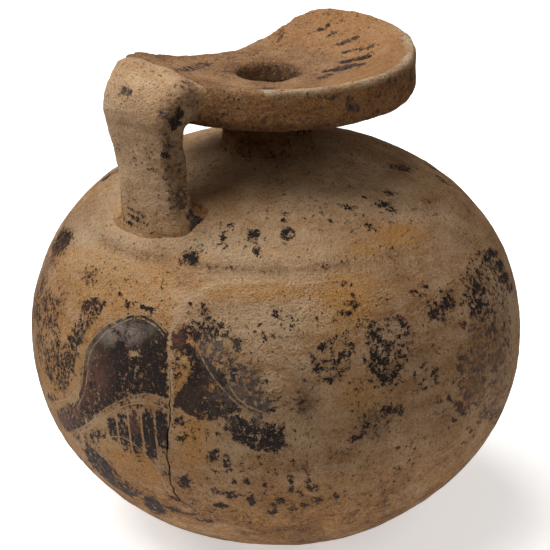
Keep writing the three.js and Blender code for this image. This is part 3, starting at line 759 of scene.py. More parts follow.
PURPLE = as_marks(
    (-47, 3.2, 9.9, 15.5, 1, -13), (-58.4, -11.9, 20.6, 7.2, 0.9, 34), (-23.4, 19.6, 3.3, 5.5, 0.8, 7),
    (53.7, 1.7, 20.2, 29.5, 0.9, 34), (-15.9, 3.2, 12, 10.4, 0.35, 35), (-33.7, -4.5, 3.2, 7.8, 0.9, -8),
    (-68, 22.9, 27.6, 15.1, 0.6, 9),
)
BLOOM = as_marks(
    (-39.2, 17.6, 12.6, 6.1, 1, 16), (-49.4, 10.1, 5.7, 8, 0.7, -1), (-8, 9.3, 11.1, 17.3, 0.5, -1),
    (-13.4, 17.3, 9, 7.6, 0.55, 10), (-3.1, 2.3, 4.4, 8.2, 0.6, -1), (58.2, 1.4, 16, 24.1, 0.5, 38),
    (-29.7, 20.6, 4, 3.5, 0.5, 14),
)
BARE = as_marks(
    (-34.5, 13.3, 3.3, 1.8, 1, 16), (-64.7, -24.7, 18, 1.7, 0.6, 31), (-36.8, -21.5, 9.5, 17.2, 1, -37),
    (-30.9, -6.7, 1.5, 1, 0.4, 39), (-14.6, 8.2, 3.2, 2.4, 0.55, 43),
)
OCHRE = as_marks(
    (17.7, 30, 12.3, 14.1, 0.9, -16), (42.5, 43, 12.2, 6.4, 1, -8), (26, 42, 9.6, 6.2, 0.5, -3),
    (-19.2, -8.6, 8, 18.6, 1, -7), (-5.5, 33.4, 26.3, 5.5, 0.75, 2), (-28.2, 38.5, 14.5, 4.2, 0.7, 10),
    (-3.9, -36.4, 23, 19.5, 1, 22), (18.9, 5.5, 10.8, 9.2, 0.6, -34), (-42.6, -22.9, 9.5, 20.6, 0.9, -43),
    (12.9, 22.9, 10.3, 10, 0.5, -13), (-27.5, 15.8, 3.5, 15.3, 0.7, 7), (-51.8, 22.9, 20.7, 7.7, 0.5, 17),
    (-65.1, 7.1, 15.3, 24.2, 0.5, 3), (-9, -26.3, 13.1, 17.6, 0.6, -20), (-14.8, 8.4, 4.2, 3.6, 1, 23),
    (-22.2, 11, 5.5, 19, 1, -5), (-48.8, 36.1, 18, 3.7, 0.6, 17), (7.4, 43.5, 17.9, 3.6, 0.4, -3),
    (27.8, 31.2, 8.8, 5.1, 0.5, -8),
)
STAIN = as_marks(
    (-80, 12, 16, 60, 0.8), (-63, 20, 10, 16, 0.45, 10), (6.6, 4.3, 5.8, 10.2, 1, 1),
    (12.8, -13, 8, 10.7, 0.8, 18), (22.1, -4.2, 7.8, 10.4, 0.8, 24), (18.7, -31.5, 10.4, 6.4, 1, -43),
    (66.2, 36.5, 13.4, 5.8, 0.45, -12), (2, -5.5, 4.4, 4.7, 0.6, 11), (35, 14.2, 6.6, 4.1, 0.45, -17),
    (95.9, 37.5, 103.6, 9.5, 0.4, -26), (5.5, -14.9, 14, 12.8, 0.5, -45), (25.2, -17.9, 18.5, 11.8, 0.5, -42),
    (40.7, -9.7, 14.6, 24.8, 0.45, 43), (43.6, -28, 41.9, 10.2, 0.5, -32), (5.4, 10.7, 5.3, 6.2, 0.5, 3),
)
UPRIGHT_BARS = as_marks(
    (-40.9, -9, 5, 10, 0.94), (-37.6, -9, 5, 12, 0.92), (-33.8, -7.4, 5, 17, 0.9), (-30, -7, 5, 18, 1),
    (-26.4, -4.6, 5, 15, 0.92),
)
PALE = as_marks(
    (-6, 25, 24, 9, 0.6, 4), (-12, 44, 40, 9, 0.5), (-52, 34, 26, 9, 0.4, 16), (-64, 38, 30, 10, 0.6, 8),
    (-62, 50, 26, 12, 0.5), (12, 44, 14, 8, 0.5), (-1, 39.8, 46, 1, 0.6), (-1, 37.2, 46, 0.8, 0.5),
    (-18, 24, 8, 6, 0.5),
)
GREY_BAND = as_marks(
    (-20, 38.4, 84, 2.8, 0.9, 1), (18, 38.8, 24, 3.2, 0.5, -4), (35, 14, 6, 4, 0.6),
)
INCISED = [
    [(-54.9, -8.3), (-50.6, -0.9), (-49.5, 4), (-49.4, 7.9), (-48.5, 11.5), (-46.7, 14.7), (-44.5, 17.8),
     (-41.3, 20.5), (-37.6, 22.8), (-34.2, 23.8), (-31.2, 23.4), (-28.4, 22.1), (-26.1, 20.2)],
    [(-53.2, -8.2), (-49.2, -1.5), (-48, 4), (-47.9, 7.6), (-47, 10.9), (-45.2, 14.1), (-43.2, 17.1),
     (-40.4, 19.7), (-37, 21.9), (-33.9, 22.8), (-31.2, 22.3), (-28.7, 21.3), (-26.5, 19.1)],
    [(-65.2, -10.9), (-57.2, -6.6), (-50.6, -0.3)],
    [(-56.5, -16.1), (-49.2, -10.9), (-44.7, -6.3), (-40.5, -2.5), (-36.9, 0.2), (-33.5, 2.3), (-30.3, 3.6),
     (-27.2, 3.7), (-24.7, 2.6)],
    [(-55.1, -16.2), (-47.8, -11.3), (-42.8, -6.5), (-38.8, -3.1), (-35.2, -0.7), (-31.9, 0.7), (-28.7, 1.2),
     (-26.2, 0.9), (-24.4, 0.2)],
    [(-59, 15.5), (-56.7, 20.5), (-53.2, 25.2), (-49.1, 29.1), (-44.5, 31.7), (-39, 33.5), (-35.2, 34.1)],
    [(-18.8, 18.5), (-16.5, 14.5), (-14, 10.6), (-11.6, 7.7), (-8.9, 4.7), (-5.7, 2.2)],
    [(-11.3, 14), (-10.5, 9.4), (-8.4, 5.8), (-5.3, 3.3), (-1.3, 1.8)],
    [(-45.2, -14.7), (-41.2, -12), (-37.3, -11), (-34.1, -12.5), (-31.2, -15.5), (-28.9, -20.4),
     (-28.5, -25.5)],
]
DISC_STROKES = as_strokes(
    ((19.6, -2, 113.8), (22.7, -4.2, 115.1), 1.9, 0.78), ((16.9, -6, 113.3), (20.3, -11.1, 114.8), 1.6, 0.62),
    ((11.9, -10.3, 112.5), (15.9, -13.8, 113.9), 2.1, 0.8),
    ((5.6, -10.5, 111.8), (11.6, -15.8, 113.3), 1.9, 0.74),
    ((7, -12.3, 112.1), (10.9, -14.3, 112.9), 2.5, 0.82), ((0.5, -13.3, 111.8), (3.3, -13.5, 112), 1.9, 0.8),
    ((21.6, 2.2, 114.5), (22.4, 2.6, 114.8), 1.8, 0.7), ((-23, 10.1, 113.8), (-8.4, 13.7, 112), 2.8, 0.66),
    ((-10.5, -32.6, 113.6), (-10.5, -32.6, 111.8), 2, 0.95),
    ((-9.2, -32.9, 111.1), (-8.8, -33, 110.6), 2, 0.9), ((12.1, -30.4, 113.6), (12.1, -30.4, 113), 1.5, 1),
    ((-24, -8, 114.4), (-14, -12, 112.8), 4, 0.4), ((-9.4, 5.6, 111.5), (1.7, -9, 111.5), 3, 0.4),
    ((2, -31, 110.5), (5, -30.6, 110.3), 2, 0.6), ((20, 8, 114.2), (24, 6, 115.3), 1.4, 0.6),
    ((14, 12, 113), (18, 15, 114.2), 1.4, 0.6),
)
HANDLE_STROKES = as_strokes(
    ((-41.8, -10, 111.9), (-43.2, -10, 110.4), 2.8, 1), ((-45.4, -9, 102.6), (-45.8, -9, 101), 2.6, 0.95),
    ((-40.6, -10, 92.6), (-40.2, -10, 90.8), 3, 0.9), ((-37.6, -10.5, 87.6), (-37.2, -10.5, 85.6), 3.2, 0.9),
    ((-45.6, 1, 115.5), (-45.6, 2.8, 115.5), 1.7, 0.72), ((-46, 0.4, 112.8), (-46, 0.4, 112.4), 1.6, 0.66),
    ((-43.6, 4.5, 87.4), (-43.4, -0.5, 86.8), 1.3, 0.5), ((-43.3, 5.5, 85.6), (-43.1, -0.8, 84.8), 1.3, 0.45),
    ((-42.8, 7, 84), (-42.6, 1, 83.2), 1.2, 0.4), ((-39, -10, 108), (-37.4, -10, 104), 3, 0.45),
    ((-37.4, -10, 100), (-36.4, -10, 95), 2.4, 0.4), ((-44.5, 8.6, 96), (-44.5, 8.6, 90), 2, 0.5),
    ((-43.5, -7, 90), (-43.5, -7.4, 88), 1.6, 0.45),
)


def hidden_marks() -> list[Mark]:
    """Return the same frieze on the sides that the camera doesn't see: tongues, bands, masses and rosettes.

    Returns:
        Marks between azimuth 95 and 265, the same each time.
    """
    chance = random.Random(11)
    marks = []
    for step in range(17):
        azimuth = 92 + step * 10.6
        marks.append(Mark(azimuth, 47 + chance.uniform(-1, 1), 4.2, 6, chance.uniform(0.3, 0.85)))
    for middle in (118, 178, 232):
        for _ in range(7):
            spot = (middle + chance.gauss(0, 9), 8 + chance.gauss(0, 7))
            size = (chance.uniform(8, 16), chance.uniform(6, 12))
            marks.append(Mark(*spot, *size, chance.uniform(0.55, 0.92), chance.uniform(-40, 40)))
    for _ in range(46):
        spot = (chance.uniform(92, 268), chance.uniform(-30, 30))
        size = (chance.uniform(2, 5.5), chance.uniform(2, 5))
        marks.append(Mark(*spot, *size, chance.uniform(0.4, 0.85)))
    for step in range(24):
        spot = (90 + step * 7.6, -29 + chance.uniform(-0.8, 0.8))
        marks.append(Mark(*spot, 7, 2.4, chance.uniform(0.2, 0.85)))
    return marks


# Globe: the thrown body and the sherd that was stuck back into it


@dataclass
class Globe:
    """The body: thrown hollow, flattened to a resting ring, with the front sherd broken out and rejoined."""

    radius: float = 57.5
    centre: float = 47.7
    rise: float = 47.0
    flattening: float = 1.9
    shoulder_fullness: float = 2.15
    belly_fullness: float = 2.04
    wall: float = 4.5
    shoulder_wall: float = 5.0
    floor_wall: float = 4.4
    hollow: float = 1.6
    ring: float = 5.5
    neck_offset: float = 2.3
    opening: float = 9.65
    sherd_width: float = 58.0
    sherd_height: float = 60.0
    sherd_shift: float = 5.0
    sherd_drop: float = 1.0
    crack: float = 0.3
    closed_crack: float = 0.03
    foot_climb: float = 1.1
    foot_reach: float = 4.5
    proud: float = 0.2
    proud_reach: float = 6.0
    ridge_height: float = 0.05
    ridge_pitch: float = 3.1
    sides: int = 440
    chamber_sides: int = 110
    opening_sides: int = 96
    mesh_size: float = 0.82
    sherd_shares: tuple[Point, ...] = (
        (-1, -0.4), (-0.975, 0.13), (-0.98, 0.58), (-0.86, 0.83), (-0.56, 0.98), (0, 1), (0.5, 0.95),
        (0.84, 0.78), (1, 0.3), (0.95, -0.28), (0.68, -0.77), (0.1, -1), (-0.6, -0.93), (-0.92, -0.76),
    )

    def profile(self, grow: float, steps: int, closed_base: bool = True) -> list[Point]:
        """Draw half of the outer form, from the base's middle to the top's middle.

        Args:
            grow: clearance all round.
            steps: points from the widest place to either end.
            closed_base: leave out the hollow under the base.

        Returns:
            [radius, height] points.
        """
        radius, rise, drop = self.radius + grow, self.rise + grow, self.centre + self.flattening + grow
        last = math.asin(min(1.0, (self.centre / drop)) ** (self.belly_fullness / 2))
        points = []
        for i in range(steps, 0, -1):
            way = last * i / steps
            r = radius * math.cos(way) ** (2 / self.belly_fullness)
            points.append((r, self.centre - drop * math.sin(way) ** (2 / self.belly_fullness)))
        for i in range(steps):
            way = math.pi / 2 * i / steps
            r = radius * math.cos(way) ** (2 / self.shoulder_fullness)
            points.append((r, self.centre + rise * math.sin(way) ** (2 / self.shoulder_fullness)))
        points.append((0, self.centre + rise))
        foot = points[0][0]
        if closed_base:
            return [(0, points[0][1]), *points]
        inner = foot - self.ring
        base = [(0, self.hollow), (inner * 0.5, self.hollow * 0.8), (inner * 0.85, self.hollow * 0.25)]
        ring = [(inner + self.ring * share, 0.0) for share in (0.06, 0.3, 0.55, 0.8)]
        return [*base, *ring, *points]

    def solid(self, grow: float, sides: int = 180, steps: int = 60) -> Piece:
        """Return the plain outer form as a solid, grown all round."""
        return turn("globe_form", self.profile(grow, steps), sides)

    def chamber(self) -> Piece:
        """Return the oil chamber as a solid."""
        steps, points = 26, []
        radius, rise = self.radius - self.wall, self.rise - self.shoulder_wall
        drop = self.centre - self.hollow - self.floor_wall
        for i in range(steps + 1):
            way = math.pi / 2 * (1 - i / steps)
            points.append((radius * math.cos(way), self.centre - drop * math.sin(way)))
        for i in range(1, steps + 1):
            way = math.pi / 2 * i / steps
            points.append((radius * math.cos(way), self.centre + rise * math.sin(way)))
        return turn("oil_chamber", points, self.chamber_sides)

    def sherd_outline(self, grow: float) -> list[Place]:
        """Draw the broken edge round the sherd, in the upright plane through the body's axis.

        Args:
            grow: 0 for the sherd's own edge, 1 for the edge of the hole that it sits in.

        Returns:
            Places in millimetres.
        """
        rough = [(self.sherd_shift + u * self.sherd_width / 2, v * self.sherd_height / 2 - self.sherd_drop)
                 for u, v in self.sherd_shares]
        loop = smooth_loop(rough, 22)
        side, places = self.facing()[0], []
        for i, (across, up) in enumerate(loop):
            before, after = np.array(loop[i - 1]), np.array(loop[(i + 1) % len(loop)])
            way = (after - before) / np.linalg.norm(after - before)
            grit = noise.noise(Vector((across * 0.8, up * 0.8, 3.1))) * 0.34
            grit += noise.noise(Vector((across * 0.24, up * 0.24, 7.7))) * 0.7
            open_share = float(soft_step(-across, 17.0, 21.5) * soft_step(-up, -26.0, 6.0))
            gap = self.closed_crack + (self.crack - self.closed_crack) * open_share
            gap *= 1 + 0.7 * noise.noise(Vector((across * 0.5, up * 0.5, 1.3)))
            move = grit + grow * gap
            across, up = across - way[1] * move, up + way[0] * move
            places.append((side.x * across, side.y * across, self.centre + up))
        return places

    @staticmethod
    def facing() -> tuple[Vector, Vector]:
        """Return the way to the camera's right, and the level way to the camera."""
        front = math.radians(FRONT)
        return Vector((-math.sin(front), math.cos(front), 0)), Vector((math.cos(front), math.sin(front), 0))

    def thrown_wall(self) -> Piece:
        """Throw the wall: the aged outside, less the chamber and the opening for the neck."""
        steps = round(self.radius * math.pi / 2 / self.mesh_size)
        wall = turn("wall", self.profile(0, steps, closed_base=False), self.sides)
        spots = vertex_places(wall)
        weigh(wall, "aged", soft_step(spots[:, 2], 0.6, 5.0))
        roughen(wall, (30, 0.9), (7, 0.34), (2.4, 0.16), group="aged")
        self.leave_ridges(wall)
        cut_with(wall, self.chamber(), Kind.CUT)
        top = self.centre + self.radius
        rod = upright_rod(self.opening, self.radius, -self.neck_offset, top, self.opening_sides)
        cut_with(wall, rod, Kind.CUT)
        return wall

    def leave_ridges(self, wall: Piece) -> None:
        """Leave the faint level ridges of the potter's fingers, which fade in and out round the globe."""
        spots = vertex_places(wall)
        out = np.hypot(spots[:, 0], spots[:, 1])
        x, y, z = spots.T
        wave = np.sin(z * 2 * math.pi / self.ridge_pitch + 1.4 * np.sin(x / 19) + np.cos(y / 23))
        fade = 0.5 + 0.5 * np.sin(z / 7.0 + x / 31)
        move = self.ridge_height * wave * fade * soft_step(z, 2.0, 8.0) * soft_step(out, 4.0, 14.0)
        spots[:, :2] *= (1 + move / np.maximum(out, 1))[:, None]
        put_back(wall, spots)

    def draw_up(self, wall: Piece, foot: list[Point]) -> None:
        """Draw the shoulder's wet clay up against the handle's foot."""
        spots = vertex_places(wall)
        near, out = from_loop(spots[:, :2], np.array(foot)), spots - np.array((0, 0, self.centre))
        lift = self.foot_climb * soft_step(-near, -self.foot_reach, -0.2) * soft_step(near, -0.9, 0.0)
        lift *= self.outside(spots) * (spots[:, 2] > self.centre)
        spots += out / np.linalg.norm(out, axis=1)[:, None] * lift[:, None]
        put_back(wall, spots)

    def build(self, foot: list[Point]) -> tuple[Piece, Piece]:
        """Make the two pieces of the body.

        Args:
            foot: the outline of the handle's pad, seen from above.

        Returns:
            The body with the hole in its front, and the sherd.
        """
        wall = self.thrown_wall()
        self.draw_up(wall, foot)
        face = self.facing()[1] * (self.radius + 3)
        sherd = copy_of(wall, "sherd")
        cut_with(sherd, raise_prism("sherd_edge", self.sherd_outline(0), face), Kind.KEEP)
        cut_with(wall, raise_prism("hole_edge", self.sherd_outline(1), face), Kind.CUT)
        wall.name = "body_globe"
        self.raise_edge(sherd)
        for piece in (wall, sherd):
            self.paint(piece)
        settle(wall, "body_shell", slot=Clay.PAINTED)
        settle(sherd, "rejoined_sherd", slot=Clay.PAINTED)
        return wall, sherd

    def from_edge(self, spots: np.ndarray) -> np.ndarray:
        """Return how far each vertex on the front is from the broken edge, in millimetres."""
        side, face = (np.array(way) for way in self.facing())
        flat = np.stack([spots @ side, spots[:, 2] - self.centre], axis=1)
        edge = np.array([(np.array(p) @ side, p[2] - self.centre) for p in self.sherd_outline(0)])
        near, front = np.full(len(spots), 99.0), np.flatnonzero(spots @ face > 0)
        near[front] = np.abs(from_loop(flat[front], edge))
        return near

    def raise_edge(self, sherd: Piece) -> None:
        """Let the sherd's upper edge stand proud, as it was stuck back a little too far out."""
        spots = vertex_places(sherd)
        out = spots - np.array((0, 0, self.centre))
        high = soft_step(out[:, 2], 2.0, 16.0) * self.outside(spots) * self.left_of(spots)
        lift = self.proud * soft_step(self.from_edge(spots), self.proud_reach, 0.0) * high
        spots += out / np.linalg.norm(out, axis=1)[:, None] * lift[:, None]
        put_back(sherd, spots)

    def left_of(self, spots: np.ndarray) -> np.ndarray:
        """Return 1 at the sherd's left edge, falling to a little at its right edge."""
        return 0.12 + 0.88 * soft_step(spots @ np.array(self.facing()[0]), 16.0, -16.0)

    def outside(self, spots: np.ndarray) -> np.ndarray:
        """Return 1 on the outer surface and 0 on the chamber's wall."""
        across = np.hypot(spots[:, 0], spots[:, 1]) / self.radius
        depth = np.hypot(across, (spots[:, 2] - self.centre) / self.rise)
        return soft_step(depth, 0.93, 0.965)

    def chart(self, spots: np.ndarray) -> Chart:
        """Return the azimuth and latitude of each vertex."""
        up = (spots[:, 2] - self.centre) / (self.centre + self.flattening)
        return Chart(bearing(spots[:, 0], spots[:, 1]), np.degrees(np.arcsin(np.clip(up, -1, 1))))

    def paint(self, piece: Piece) -> None:
        """Lay the slip, stains and incised lines on a piece of the body, with painted shade towards the
        bottom and a painted highlight along the sherd's upper left edge.
        """
        spots = vertex_places(piece)
        chart, outside = self.chart(spots), self.outside(spots)
        slip = chart.cover([*SHOULDER_TONGUES, *BAND_REMAINS, *FIGURE, *FAR_LEFT, *MIDDLE, *RIGHT_STRIP,
                            *LOWER_MARKS, *SLANTED_BARS, *LOWER_BAND, *hidden_marks()])
        slip = np.maximum(slip, chart.fill(FIELDS))
        speckle = 0.09 + 0.1 * soft_step(np.abs(chart.latitude + 2), 36, 26)
        oval = chart.fill(OVAL)
        bare = (1 - chart.cover(BARE)) * (1 - oval)
        bars, count = self.bars(chart)
        near = self.from_edge(spots)
        high = soft_step(spots[:, 2] - self.centre, -10.0, 8.0)
        # Darker and warmer towards the bottom: partly the belly's own browner clay, partly painted shade on
        # the underside
        low = soft_step(-chart.latitude, 2, 40)
        give(piece, "slip", np.maximum(slip, speckle) * bare * outside * soft_step(near, 0.0, 0.35))
        give(piece, "bars", bars * outside)
        give(piece, "bar_count", count)
        give(piece, "purple", chart.cover(PURPLE))
        give(piece, "bloom", chart.cover(BLOOM))
        warm = [chart.cover(OCHRE), oval, 0.6 * chart.fill(LEFT_GROUND), 0.85 * low]
        give(piece, "ochre_and_shade", np.maximum.reduce(warm))
        give(piece, "stain_and_shade", np.maximum.reduce([chart.cover(STAIN), low, 0.9 * chart.cover(GREY_BAND)]))
        # Painted highlight: a pale line along the sherd's upper left edge, where the proud edge faces the
        # light from the upper left
        crust_and_highlight = soft_step(near, 0.9, 0.1) * high * self.left_of(spots)
        give(piece, "deposit_and_highlight", np.maximum(chart.cover(PALE), crust_and_highlight))
        for i, line in enumerate(INCISED):
            give(piece, f"line_{i}", chart.beside(smooth_line(line, 4)))

    @staticmethod
    def bars(chart: Chart) -> tuple[np.ndarray, np.ndarray]:
        """Lay the strip of upright bars left of the crack, under its curved roof.

        Returns:
            How strongly the strip shows, and a count that is even in the middle of each bar.
        """
        along, above = (-43, -38.8, -35.2, -31.9, -28.7, -24.4), (-7, -3.6, -1.2, 0.2, 0.7, -0.2)
        roof = np.interp(chart.azimuth, along, above)
        inside = soft_step(chart.azimuth, -42.8, -42.0) * soft_step(-chart.azimuth, 24.2, 24.9)
        inside = inside * soft_step(roof - chart.latitude, 0.0, 0.8)
        return inside * chart.cover(UPRIGHT_BARS), (chart.azimuth + 26.3) / 3.63 * 2


# Neck


@dataclass
class Neck:
    """The collar with the bore through it, and the clay smoothed round its foot."""

    offset: float = 2.3
    bore: float = 7.25
    wall: float = 4.05
    waist: float = 0.6
    spigot: float = 2.0
    foot: float = 89.4
    level: float = 94.0
    top: float = 106.9
    reach: float = 4.2
    climb: float = 3.4
    sides: int = 120
    wall_steps: int = 20
    bore_steps: int = 24
    fillet_steps: int = 18

    def build(self) -> list[Piece]:
        """Make the collar and the luting.

        Returns:
            Both pieces.
        """
        outer = self.bore + self.wall
        spigot = self.bore + self.spigot
        profile = [(self.bore, self.foot), (spigot, self.foot), (spigot, self.level)]
        for i in range(self.wall_steps + 1):
            share = i / self.wall_steps
            radius = outer - self.waist * math.sin(math.pi * share)
            profile.append((radius, self.level - 2 + (self.top - self.level + 2) * share))
        for i in range(self.bore_steps + 1):
            profile.append((self.bore, self.top - (self.top - self.foot) * i / self.bore_steps))
        collar = turn("neck_collar_clay", profile, self.sides, -self.offset)
        roughen(collar, (8, 0.4), (2.4, 0.16))
        fillet = []
        for i in range(self.fillet_steps + 1):
            way = math.pi / 2 * i / self.fillet_steps
            height = self.level - 1.7 + self.climb * (1 - math.cos(way))
            share = np.clip((height - self.level + 2) / (self.top - self.level + 2), 0, 1)
            radius = outer - self.waist * math.sin(math.pi * share)
            fillet.append((radius + self.reach * (1 - math.sin(way)) ** 1.4, height))
        inner = outer - 1.0
        ring = [(inner, self.level - 4.0), (fillet[0][0], self.level - 4.0), *fillet, (inner, fillet[-1][1])]
        luting = turn("neck_luting_clay", [*ring, ring[0]], self.sides, -self.offset)
        roughen(luting, (5, 0.12))
        # The neck, which stands in the disc's shadow, is darker and browner all round: partly a wash, partly
        # painted shade
        for piece, node in ((collar, "neck_collar"), (luting, "neck_luting")):
            for name, share in (("stain_and_shade", 0.6), ("ochre_and_shade", 0.3), ("slip", 0.3)):
                give(piece, name, np.full(len(piece.data.vertices), share))
            settle(piece, node, slot=Clay.PLAIN)
        return [collar, luting]


# Mouth disc, strap handle and pad: built as one soft shape, then parted along their joins


@dataclass
class Crown:
    """The dished mouth disc with its lost side, the strap handle that flows into it, and the pad below."""

    offset: float = 2.3
    bore: float = 7.25
    underside: float = 106.6
    radius: float = 33.6
    edge: float = 10.8
    dish: float = 5.9
    near_rise: float = 1.9
    near_spread: float = 22.0
    far_rise: float = 1.7
    far_spread: float = 44.0
    rim_rounding: float = 1.1
    low_rounding: float = 2.8
    stand: float = 44.6
    thickness: float = 7.2
    bulge: float = 2.8
    crest: float = 2.8
    width: float = 21.4
    waist: float = 2.0
    foot_set_in: float = 2.2
    foot_depth: float = 2.4
    root_step: float = 2.2
    foot: float = 79.1
    pad_height: float = 1.6
    break_distance: float = 16.0
    voxel: float = 0.45
    break_voxel: float = 0.7
    strap_voxel: float = 0.8
    rim_gap: float = 0.3
    pad_gap: float = 0.1
    pad_sunk: float = 0.3
    disc_end: float = -36.0
    sides: int = 160
    rim_sides: int = 128
    arc_steps: int = 8
    dish_steps: int = 24
    break_x_shares: tuple[float, ...] = (1.2, 0.93, 0.87, 0.74, 0.51, 0.19, 0, -0.25, -0.49, -0.73, -1.2)
    break_y_shares: tuple[float, ...] = (0.36, 0.7, 0.85, 0.95, 1, 1, 1.1, 1.23, 1.36, 1.34, 1.25)

    def dish_height(self, radius: float) -> float:
        """Height of the dish at a distance from the bore."""
        share = (radius - self.bore) / (self.radius - self.bore)
        return self.underside + self.edge - self.dish * (1 - share**2)

    def disc(self) -> Piece:
        """Throw the whole disc, lift its rim towards the handle, and break its side off."""
        points = [(self.bore, self.underside), (self.radius - self.low_rounding, self.underside)]
        for i in range(1, self.arc_steps + 1):
            way = -math.pi / 2 * (1 - i / self.arc_steps)
            points.append((self.radius - self.low_rounding * (1 - math.cos(way)),
                           self.underside + self.low_rounding * (1 + math.sin(way))))
        top = self.radius - self.rim_rounding
        for i in range(self.arc_steps + 1):
            way = math.pi / 2 * i / self.arc_steps
            points.append((top + self.rim_rounding * math.cos(way),
                           self.dish_height(top) - self.rim_rounding * (1 - math.sin(way))))
        lip = self.bore + 1.2
        for i in range(1, self.dish_steps + 1):
            radius = top + (lip - top) * i / self.dish_steps
            points.append((radius, self.dish_height(radius)))
        points += [(self.bore + 0.3, self.dish_height(lip) - 0.4), (self.bore, self.dish_height(lip) - 1.4)]
        disc = turn("disc_form", [*points, points[0]], self.sides, -self.offset)
        self.lift_rim(disc)
        cut_with(disc, self.lost_side(), Kind.CUT)
        return disc

    def lift_rim(self, disc: Piece) -> None:
        """Draw the soft rim up towards the handle, and more gently on the side that faces away from it."""
        spots = vertex_places(disc)
        x, y = spots[:, 0] + self.offset, spots[:, 1]
        share = np.clip((np.hypot(x, y) - self.bore) / (self.radius - self.bore), 0, 1)
        high = np.clip((spots[:, 2] - self.underside) / self.edge, 0, 1)
        turned = np.degrees(np.abs(np.arctan2(y, -x)))
        lift = self.near_rise * np.exp(-(turned / self.near_spread) ** 2)
        lift += self.far_rise * np.exp(-((180 - turned) / self.far_spread) ** 2)
        spots[:, 2] += lift * share**2 * high
        put_back(disc, spots)

    def lost_side(self) -> Piece:
        """Return what broke off the disc, as a solid with a rough broken face."""
        line = [(x * self.radius - self.offset, y * self.break_distance)
                for x, y in zip(self.break_x_shares, self.break_y_shares)]
        curve = smooth_line(line, 8)
        far = self.radius + 4
        outline = [(x, y, self.underside - 3) for x, y in [*curve, (curve[-1][0], far), (curve[0][0], far)]]
        lost = raise_prism("lost_side", outline, Vector((0, 0, self.edge + 10)))
        split_faces(lost)
        melt(lost, self.break_voxel)
        roughen(lost, (5, 1.5), (1.8, 0.6))
        return lost

    def strap(self) -> Piece:
        """Cut the strap's side outline, give it its width, and draw its waist in."""
        waist = self.foot + 0.6 * (self.underside - self.foot)
        rim = self.underside + self.edge
        edge_x = self.offset + self.radius
        inner = self.stand - self.thickness
        root = self.underside + self.root_step
        outer_face = [
            (self.stand - self.foot_set_in, self.foot),
            (self.stand - 0.4 * self.foot_set_in, (self.foot + waist) / 2),
            (self.stand, waist), (self.stand + 0.6 * self.bulge, self.underside),
            (self.stand + self.bulge, self.underside + 0.4 * self.edge),
            (self.stand + 0.3 * self.bulge, rim - 0.3 * self.crest),
            (self.stand - 0.9 * self.bulge, rim + 0.75 * self.crest),
            ((self.stand + self.bulge + edge_x) / 2 - self.rim_rounding, rim + self.crest + 0.3),
            (edge_x, rim + 2.5), (edge_x - 3, rim + 0.6), (edge_x - 5, rim - 1.2),
        ]
        inner_face = [
            (edge_x - 5, root), (inner + self.bulge - 1.2, root), (inner + self.bulge, root - 1.8),
            (inner, waist), (inner - 0.5 * self.foot_depth, (self.foot + waist) / 2),
            (inner - self.foot_depth, self.foot),
        ]
        outline = [*smooth_line(outer_face, 5), *smooth_line(inner_face, 5)]
        outline = [(inner_face[-1][0], self.foot - 7), (outer_face[0][0], self.foot - 7), *outline]
        outline = [(-out, -self.width / 2, z) for out, z in outline]
        strap = raise_prism("strap_form", outline, Vector((0, self.width, 0)))
        split_faces(strap)
        melt(strap, self.strap_voxel)
        rub(strap, 22)
        self.draw_in(strap)
        return strap

    def draw_in(self, strap: Piece) -> None:
        """Narrow the waist and the outer face, spread the near side of the foot, and drop the near crest."""
        spots = vertex_places(strap)
        rise = np.clip((spots[:, 2] - self.foot) / (self.underside - self.foot), 0, 1)
        out = np.clip((-spots[:, 0] - self.stand + self.thickness) / self.thickness, 0, 1)
        curl = 0.008 + 0.02 * (1 - rise) ** 1.5
        spots[:, 0] += curl * (spots[:, 1] - 1.5) ** 2 * out
        half = self.width / 2 - self.waist * np.sin(math.pi * rise)
        near = np.where(spots[:, 1] < 0, 1.4, 0.4) * (1 - rise) ** 3
        high = soft_step(spots[:, 2], self.underside + 2, self.underside + self.edge + self.crest)
        drop = 2.0 * soft_step(-spots[:, 1], 0.5, half.mean()) - 0.4 * soft_step(spots[:, 1], 3, 9)
        spots[:, 2] -= high * drop
        spots[:, 1] *= (half + near) / (self.width / 2 - 0.5) * (1.02 - 0.12 * out)
        put_back(strap, spots)

    def foot_outline(self) -> list[Point]:
        """Return the outline of the pad, seen from above."""
        out, deep, half = self.stand - self.foot_set_in, self.thickness + self.foot_depth, self.width / 2
        corners = [(out - deep, half), (out - 0.6 * deep, 1.34 * half), (out - 0.2 * deep, 1.16 * half),
                   (out, 0.7 * half), (out + 0.5, 0), (out - 0.06 * deep, -0.42 * half),
                   (out - 0.28 * deep, -0.8 * half), (out - 0.6 * deep, -half), (out - deep, -0.96 * half),
                   (out - deep, 0)]
        return [(-x, y) for x, y in smooth_loop(corners, 6)]

    def pad(self, globe: Globe) -> Piece:
        """Press the pad: a layer on the shoulder, a little wider all round than the strap's foot."""
        outline = [(x, y, globe.centre + 10) for x, y in self.foot_outline()]
        pad = raise_prism("pad_form", outline, Vector((0, 0, 50)))
        cut_with(pad, globe.solid(self.pad_height), Kind.KEEP)
        return pad

    def build(self, globe: Globe) -> list[Piece]:
        """Make the disc, the strap and the pad.

        Args:
            globe: the body that the handle stands on.

        Returns:
            The three pieces.
        """
        disc, strap, pad = self.disc(), self.strap(), self.pad(globe)
        leave_all()
        for part in (strap, pad, disc):
            part.select_set(True)
        bpy.context.view_layer.objects.active = disc
        bpy.ops.object.join()
        melt(disc, self.voxel)
        rub(disc, 5)
        self.model_joins(disc)
        cut_with(disc, globe.solid(-self.pad_sunk), Kind.CUT)
        return self.part(disc, globe)

